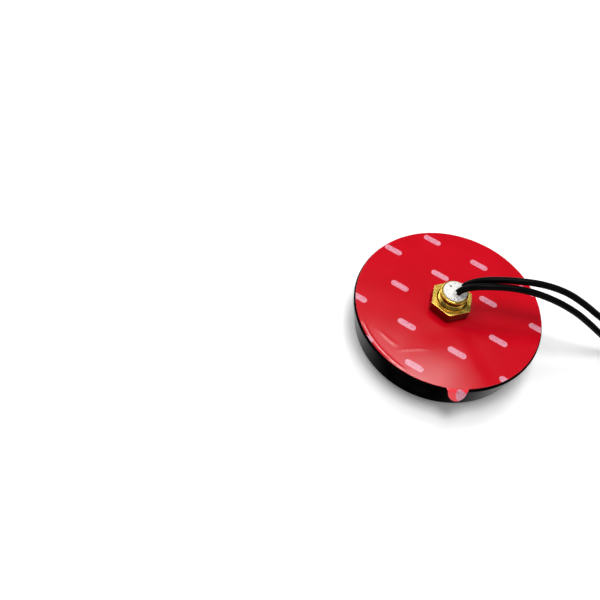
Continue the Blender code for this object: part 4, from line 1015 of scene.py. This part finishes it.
def collar_grid(path, lengths):
    """Compound drawn up a cable: a sleeve round its path that thins from its foot to a ragged edge."""
    turn = column_angles(len(lengths))
    share = np.linspace(0.0, 1.0, COLLAR_ROWS)
    thick = COLLAR_THICK * (1 - share) ** 1.5 + COLLAR_EDGE
    thick = np.concatenate([[-COLLAR_SINK], thick, [-COLLAR_SINK]])[:, None]
    share = np.concatenate([[0.0], share, [1.0]])[:, None]
    run = run_along(path)
    foot = np.interp(COLLAR_FOOT, path[:FOOT_POINTS, 2], run[:FOOT_POINTS])
    station = foot + share * lengths * MM
    middle = np.stack([np.interp(station, run, path[:, axis]) for axis in range(3)], axis=-1)
    ahead = np.stack([np.interp(station + AHEAD, run, path[:, axis]) for axis in range(3)], axis=-1) - middle
    ahead = ahead / np.linalg.norm(ahead, axis=-1, keepdims=True)
    across = np.cross(ahead, (0.0, 1.0, 0.0))
    across = across / np.linalg.norm(across, axis=-1, keepdims=True)
    over = np.cross(ahead, across)
    radius = (CABLE_RADIUS + thick * MM)[..., None]
    return middle + radius * (across * np.cos(turn)[:, None] + over * np.sin(turn)[:, None])


def ragged(columns, base, swing, phase):
    """Lengths round a collar: a base and three waves, of 2, 5 and 9 to a turn."""
    turn = column_angles(columns)
    waves = np.sin(2 * turn + phase) + 0.6 * np.sin(5 * turn - phase) + 0.4 * np.sin(9 * turn + 2 * phase)
    return base + swing * waves


collars = [collar_grid(gnss_path, ragged(COLLAR_COLUMNS, 1.9, 0.40, 0.5)),
           collar_grid(cellular_path, ragged(COLLAR_COLUMNS, 2.2, 0.50, 2.1))]
shade = np.zeros((*potting_rows.shape[:2], 3))
shade[:len(top_radius), :, 0] = pit_shade(top_radius, angle)
collar_shade = np.zeros((sum(collar[..., 0].size for collar in collars), 3))
shade = np.concatenate([shade.reshape(-1, 3), collar_shade])
potting_mesh = mesh_of("set_potting", spin(potting_rows, POTTING_COLUMNS), *collars, skin=shade)
add_piece("set_potting", potting_mesh, white_set, "white_potting", "antenna", "potting")

# %% [markdown]
# ## The plugs
#
# Each cable ends in a small screw-on coaxial plug: a shrunk black sleeve, a gilded body with its collar and
# barrel, a white insulator, a pin and a hexagonal coupling nut that turns. They are modelled upright, round
# Z, and then laid along -Y at the end of their cable, which is only an exchange of axes.

# %% Plug finishes
GOLD_BRIGHT, GOLD_DULL = (0.86, 0.60, 0.22), (0.74, 0.48, 0.15)
LAID_TURN = (math.pi / 2, 0.0, 0.0)


def gold_finish(name, end):
    """Gilding whose rings run round the axis of a plug that is laid at a cable's end."""
    return metal_finish(name, GOLD_BRIGHT, GOLD_DULL, 0.12, 0.24, tuple(end), LAID_TURN)


def speckled_finish(name, gloss, grain, dark, light, roughness, relief=None):
    """A plain material whose colour, roughness and relief follow one noise. grain is the noise's scale,
    detail and roughness, relief the strength and the depth of the bumps."""
    material, feed, place = start_finish(name, {"Specular IOR Level": gloss})
    speckle = place.noise(*grain)
    feed("Base Color", speckle.fit(0.3, 0.7).blend(dark, light))
    feed("Roughness", speckle.fit(0.3, 0.7, *roughness))
    if relief:
        feed("Normal", speckle.bump(*relief))
    return material


shrink = speckled_finish("shrunk_sleeve", 0.4, (650.0, 3.0, 0.55), (0.008, 0.008, 0.009),
                         (0.017, 0.017, 0.018), (0.34, 0.50), (0.25, 0.12 * MM))
milky = speckled_finish("milky_insulator", 0.4, (1200.0, 3.0, 0.5), (0.80, 0.80, 0.77), (0.90, 0.90, 0.88),
                        (0.35, 0.5))
print("plug finishes:", shrink.name, milky.name)

# %% Plugs
PLUG_COLUMNS = 96
SLEEVE_CORNERS = [(2.7, 7.7), (2.7, 1.2), (2.25, -0.4), (2.05, -3.0), (1.55, -3.0), (1.55, 0.0), (1.9, 0.0),
                  (1.9, 7.7)]
BODY_CORNERS = [(0.0, 8.6), (2.0, 8.6), (2.0, 15.1), (2.3, 15.1), (2.3, 12.6), (2.9, 12.6), (2.9, 11.8),
                (2.4, 11.8), (2.4, 10.0), (3.2, 10.0), (3.2, 7.8), (1.7, 7.8), (1.7, 0.3), (0.0, 0.3)]
INSULATOR_CORNERS = [(1.9, 15.1), (1.9, 8.7), (0.8, 8.7), (0.8, 15.1)]
PIN_CORNERS = [(0.0, 16.9), (0.2, 16.9), (0.6, 16.1), (0.6, 8.9), (0.0, 8.9)]
COUPLING_BACK, COUPLING_FRONT, COUPLING_LIP = 10.25 * MM, 18.25 * MM, 1.3 * MM
COUPLING_ACROSS, COUPLING_FACE, COUPLING_SLOPE = 8.0 * MM, 3.85 * MM, math.radians(25.0)
COUPLING_ROUND = 0.1 * MM
LIP_RADIUS, MOUTH_RADIUS, MOUTH_CHAMFER = 2.65 * MM, 3.2 * MM, 0.25 * MM
MOUTH_PITCH, MOUTH_DEPTH, MOUTH_FADE = 0.706 * MM, 0.25 * MM, 0.5 * MM
MOUTH_OUTER, MOUTH_INNER = COUPLING_FRONT - 0.5 * MM, COUPLING_BACK + COUPLING_LIP + 0.4 * MM
MOUTH_ROWS, MOUTH_AFTER = 72, 7


def on_axis_rounds(corners, round_mm):
    """No round where a corner lies on the axis, the same round everywhere else."""
    return np.where(np.array(corners)[:, 0] > 0, round_mm, 0.0) * MM


def laid(grid, end):
    """An upright grid laid along -Y at a cable's end: (x, y, z) becomes (x, -z, y)."""
    return np.stack([grid[..., 0], -grid[..., 2], grid[..., 1]], axis=-1) + end


def coupling_grid():
    """A hexagonal ring with a lip behind, chamfered in front, and a fine thread wound in its mouth."""
    reach = hexagon(COUPLING_ACROSS, 0.0, PLUG_COLUMNS)
    corners = hex_profile(reach, COUPLING_FACE, COUPLING_SLOPE, MOUTH_RADIUS, MOUTH_CHAMFER, COUPLING_BACK,
                          COUPLING_FRONT)
    lip = np.ones((PLUG_COLUMNS, 1))
    corners[0] = lip * (LIP_RADIUS, COUPLING_BACK)
    corners[-1] = lip * (MOUTH_RADIUS, COUPLING_BACK + COUPLING_LIP)
    corners = np.concatenate([corners, (lip * (LIP_RADIUS, COUPLING_BACK + COUPLING_LIP))[None]])
    rows = rounded(corners, COUPLING_ROUND, ARC_STEPS)
    turns = np.linspace(MOUTH_OUTER, MOUTH_INNER, MOUTH_ROWS)[:, None]
    cut = thread_cut(turns, column_angles(PLUG_COLUMNS), MOUTH_PITCH, MOUTH_DEPTH)
    cut = cut * ease((MOUTH_OUTER - turns) / MOUTH_FADE) * ease((turns - MOUTH_INNER) / MOUTH_FADE)
    thread = np.stack([MOUTH_RADIUS + cut, turns + 0 * cut], axis=-1)
    return spin(np.insert(rows, MOUTH_AFTER * CORNER_ROWS, thread, axis=0), PLUG_COLUMNS)


def add_plug(label, end):
    """The five pieces of one plug at the end of a cable; returns them."""
    gold = gold_finish(f"{label}_gilding", end)
    turned = [("sleeve", SLEEVE_CORNERS, 0.3, shrink, "black_rubber"),
              ("body", BODY_CORNERS, 0.08, gold, "gold_plate"),
              ("insulator", INSULATOR_CORNERS, 0.06, milky, "white_insulator"),
              ("pin", PIN_CORNERS, 0.08, gold, "gold_plate")]
    pieces = []
    for part, corners, round_mm, finish, slot in turned:
        rows = rounded(np.array(corners) * MM, on_axis_rounds(corners, round_mm), ARC_STEPS)
        mesh = mesh_of(f"{label}_{part}", laid(spin(rows, PLUG_COLUMNS), end))
        pieces.append(add_piece(f"{label}_{part}", mesh, finish, slot, "antenna", f"{label}_plug_{part}"))
    name = f"{label}_coupling"
    mesh = mesh_of(name, laid(coupling_grid(), end))
    return pieces + [add_piece(name, mesh, gold, "gold_plate", name, f"{label}_coupling_nut")]


gnss_plug = add_plug("gnss", gnss_path[-1])
cellular_plug = add_plug("cellular", cellular_path[-1])

# %% [markdown]
# ## The tie
#
# A flat plastic-covered wire holds both coils together, its ends twisted outwards. Its section, a thin strip,
# is carried round a loop with round corners. The twisted end has a narrower and thicker section, with the
# wire's ridge along its middle, which turns as it goes out.

# %% Tie
TIE_TURN = math.radians(225.0)
TIE_CORNERS = np.array([(28.525, 26.85), (13.25, 26.85), (13.25, 0.25), (28.525, 0.25)]) * MM
TIE_ROUND = 2.8 * MM
STRIP_HALF, STRIP_THICK, WIRE_RIDGE = 2.25 * MM, 0.44 * MM, 0.28 * MM
STRIP_COLUMNS, TIE_STEPS = 40, 8
STRIP_SQUARE, RIDGE_SHARE = 0.35, 0.35
TWIST_START, TWIST_LENGTH, TWIST_HEIGHT, TWIST_SAG = 28.6 * MM, 9.0 * MM, 9.0 * MM, 3.5 * MM
TWIST_TURNS, TWIST_HASTE, TWIST_ROWS = 1.75, 1.15, 90
TWIST_NARROW, TWIST_THICKEN = 0.62, 2.2

tie_black, feed, place = start_finish("tie_skin", {"Specular IOR Level": 0.4})
scuff = place.noise(1400.0, 3.0, 0.6)
feed("Base Color", scuff.fit(0.3, 0.75).blend((0.010, 0.010, 0.011), (0.026, 0.026, 0.027)))
feed("Roughness", scuff.fit(0.3, 0.7, 0.38, 0.58))
feed("Normal", scuff.bump(0.2, 0.06 * MM))


def strip_section(half, thick, ridge):
    """Closed section of the strip: a flat loop |w| <= half with a bell-shaped ridge of wire on both faces."""
    turn = column_angles(STRIP_COLUMNS)
    wide, up = half * np.cos(turn), np.abs(np.sin(turn))
    wire = ridge / 2 * np.exp(-(wide / (RIDGE_SHARE * half)) ** 2) * up
    return wide, np.sign(np.sin(turn)) * (thick / 2 * up ** STRIP_SQUARE + wire)


coil_middle = np.array((*GNSS_ROUTE[-1][:2], 0.0)) * MM + (COIL_LEAD, -COIL_OUTER, 0.0)
outward = np.array((math.cos(TIE_TURN), math.sin(TIE_TURN), 0.0))
sideways = np.array((-outward[1], outward[0], 0.0))
upright = np.array((0.0, 0.0, 1.0))
loop = rounded(TIE_CORNERS, TIE_ROUND, TIE_STEPS)[:, 0]
ahead = np.roll(loop, -1, axis=0) - np.roll(loop, 1, axis=0)
ahead = ahead / np.linalg.norm(ahead, axis=1, keepdims=True)
normal = np.stack([ahead[:, 1], -ahead[:, 0]], axis=-1)
wide, thick = strip_section(STRIP_HALF, STRIP_THICK, 0.0)
spread = loop[:, None] + normal[:, None] * thick[None, :, None]
loop_grid = coil_middle + spread[..., :1] * outward + spread[..., 1:] * upright
loop_grid = loop_grid + wide[None, :, None] * sideways

share = np.linspace(0.0, 1.0, TWIST_ROWS)[:, None]
turn = 2 * math.pi * TWIST_TURNS * ease(share * TWIST_HASTE)
wide, thick = strip_section(TWIST_NARROW * STRIP_HALF, TWIST_THICKEN * STRIP_THICK, WIRE_RIDGE)
side = wide * np.cos(turn) - thick * np.sin(turn)
rise = TWIST_HEIGHT - TWIST_SAG * share ** 2 + wide * np.sin(turn) + thick * np.cos(turn)
out = (TWIST_START + TWIST_LENGTH * share)[..., None]
twist_grid = coil_middle + out * outward + rise[..., None] * upright + side[..., None] * sideways
twist_ends = [np.broadcast_to(twist_grid[end].mean(axis=0), (1, STRIP_COLUMNS, 3)) for end in (0, -1)]
twist_grid = np.concatenate([twist_ends[0], twist_grid, twist_ends[1]])
loop_mesh = mesh_of("coil_tie", loop_grid)
tie = add_piece("coil_tie", loop_mesh, tie_black, "tie_black", "antenna", "cable_tie")
twist_mesh = mesh_of("tie_twist", twist_grid, closed=False)
twist = add_piece("tie_twist", twist_mesh, tie_black, "tie_black", "antenna")

# %% [markdown]

# %% [markdown]
# ## What is inside
#
# The board, the ceramic patch, the amplifier under its shield, the stamped strip, the screws and the cable
# ends are shut in the cup. Their CAD shapes are right as they are, so they keep them and only get a finish;
# the two cable ends are soft, so they are drawn again as tubes that thin from jacket to core.

# %% Cable ends in the stud
# lengths in millimetres: the upper end, where the jacket stops, and the bare core above the board
END_SIDE, END_TOP, JACKET_STOP, JACKET_TAPER = 1.55, 25.3, 16.8, 0.3
CORE_HEIGHT, CORE_BEND = 8.15, 2.5
JACKET_RADIUS, CORE_RADIUS = 1.4, 0.75
DOWN_POINTS, BEND_POINTS, END_SIDES = 12, 16, 16


def pigtail_path(side, heading, reach):
    """Down the bore, then a quarter circle of the bare core, then along the board to its solder joint."""
    start = np.array((0.0, side * END_SIDE, END_TOP))
    turn = np.linspace(0.0, np.pi / 2, BEND_POINTS)[:, None]
    heading = np.array((*heading, 0.0))
    down = start + np.linspace(0.0, JACKET_STOP - END_TOP, DOWN_POINTS)[:, None] * upright
    thin = start + (JACKET_STOP - JACKET_TAPER - END_TOP) * upright
    sink = CORE_HEIGHT + CORE_BEND * (1 - np.sin(turn)) - END_TOP
    curve = start + CORE_BEND * (1 - np.cos(turn)) * heading + sink * upright
    last = start + reach * heading + (CORE_HEIGHT - END_TOP) * upright
    path = np.vstack([down, thin, curve, last]) * MM
    radius = np.where(np.arange(len(path)) < len(down), JACKET_RADIUS, CORE_RADIUS) * MM
    return path, radius


def add_pigtail(label, side, heading, reach):
    """One cable end as a tube along its path."""
    path, radius = pigtail_path(side, heading, reach)
    grid, skin = tube(path, radius, END_SIDES, np.cross(upright, (*heading, 0.0)))
    mesh = mesh_of(f"{label}_cable_end", grid, closed=False, skin=skin.reshape(-1, 3))
    add_piece(f"{label}_cable_end", mesh, jacket, "cable_jacket", "antenna", f"{label}_pigtail")


add_pigtail("gnss", -1, (-1.0, 0.0), 9.0)
add_pigtail("cellular", 1, (0.0, 1.0), 15.5)

# %% Finishes of the hidden pieces
steel = metal_finish("plated_steel", (0.64, 0.64, 0.65), (0.50, 0.50, 0.52), 0.24, 0.42)

mask_green, feed, place = start_finish("solder_mask", {"Coat Weight": 0.3})
tracks = place.node("TexBrick", (), {"Vector": place, "Scale": 260.0, "Mortar Size": 0.03})
weave = place.noise(1800.0, 2.0, 0.5)
traced = tracks.node("RGBToBW", (), {0: tracks}).fit(0.1, 0.8)
feed("Base Color", traced.blend((0.010, 0.090, 0.032), (0.018, 0.140, 0.050)))
feed("Roughness", weave.fit(0.3, 0.7, 0.32, 0.48))
feed("Normal", weave.bump(0.2, 0.03 * MM))

fired = speckled_finish("fired_ceramic", 0.4, (1100.0, 4.0, 0.65), (0.56, 0.48, 0.35), (0.70, 0.62, 0.48),
                        (0.5, 0.7), (0.2, 0.04 * MM))
glue_tape = speckled_finish("glue_tape", 0.3, (1500.0, 3.0, 0.6), (0.62, 0.62, 0.60), (0.76, 0.76, 0.74),
                            (0.62, 0.82))
chip_black = speckled_finish("chip_resin", 0.35, (3000.0, 2.0, 0.6), (0.016, 0.016, 0.018),
                             (0.032, 0.032, 0.034), (0.48, 0.66), (0.2, 0.02 * MM))

INSIDE = {
    "base_plate": cup_black, "main_board": mask_green, "patch_antenna": fired, "patch_tape": glue_tape,
    "feed_pin": steel, "shield_can": steel, "lna_chip": chip_black, "saw_filter": chip_black,
    "cellular_radiator": steel, **{f"cover_screw_{i}": steel for i in (1, 2, 3, 4)},
    **{f"board_screw_{i}": steel for i in (1, 2, 3)},
}
for name, finish in INSIDE.items():
    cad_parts[name].material_slots[0].material = finish
print("finished inside:", len(INSIDE), "pieces")
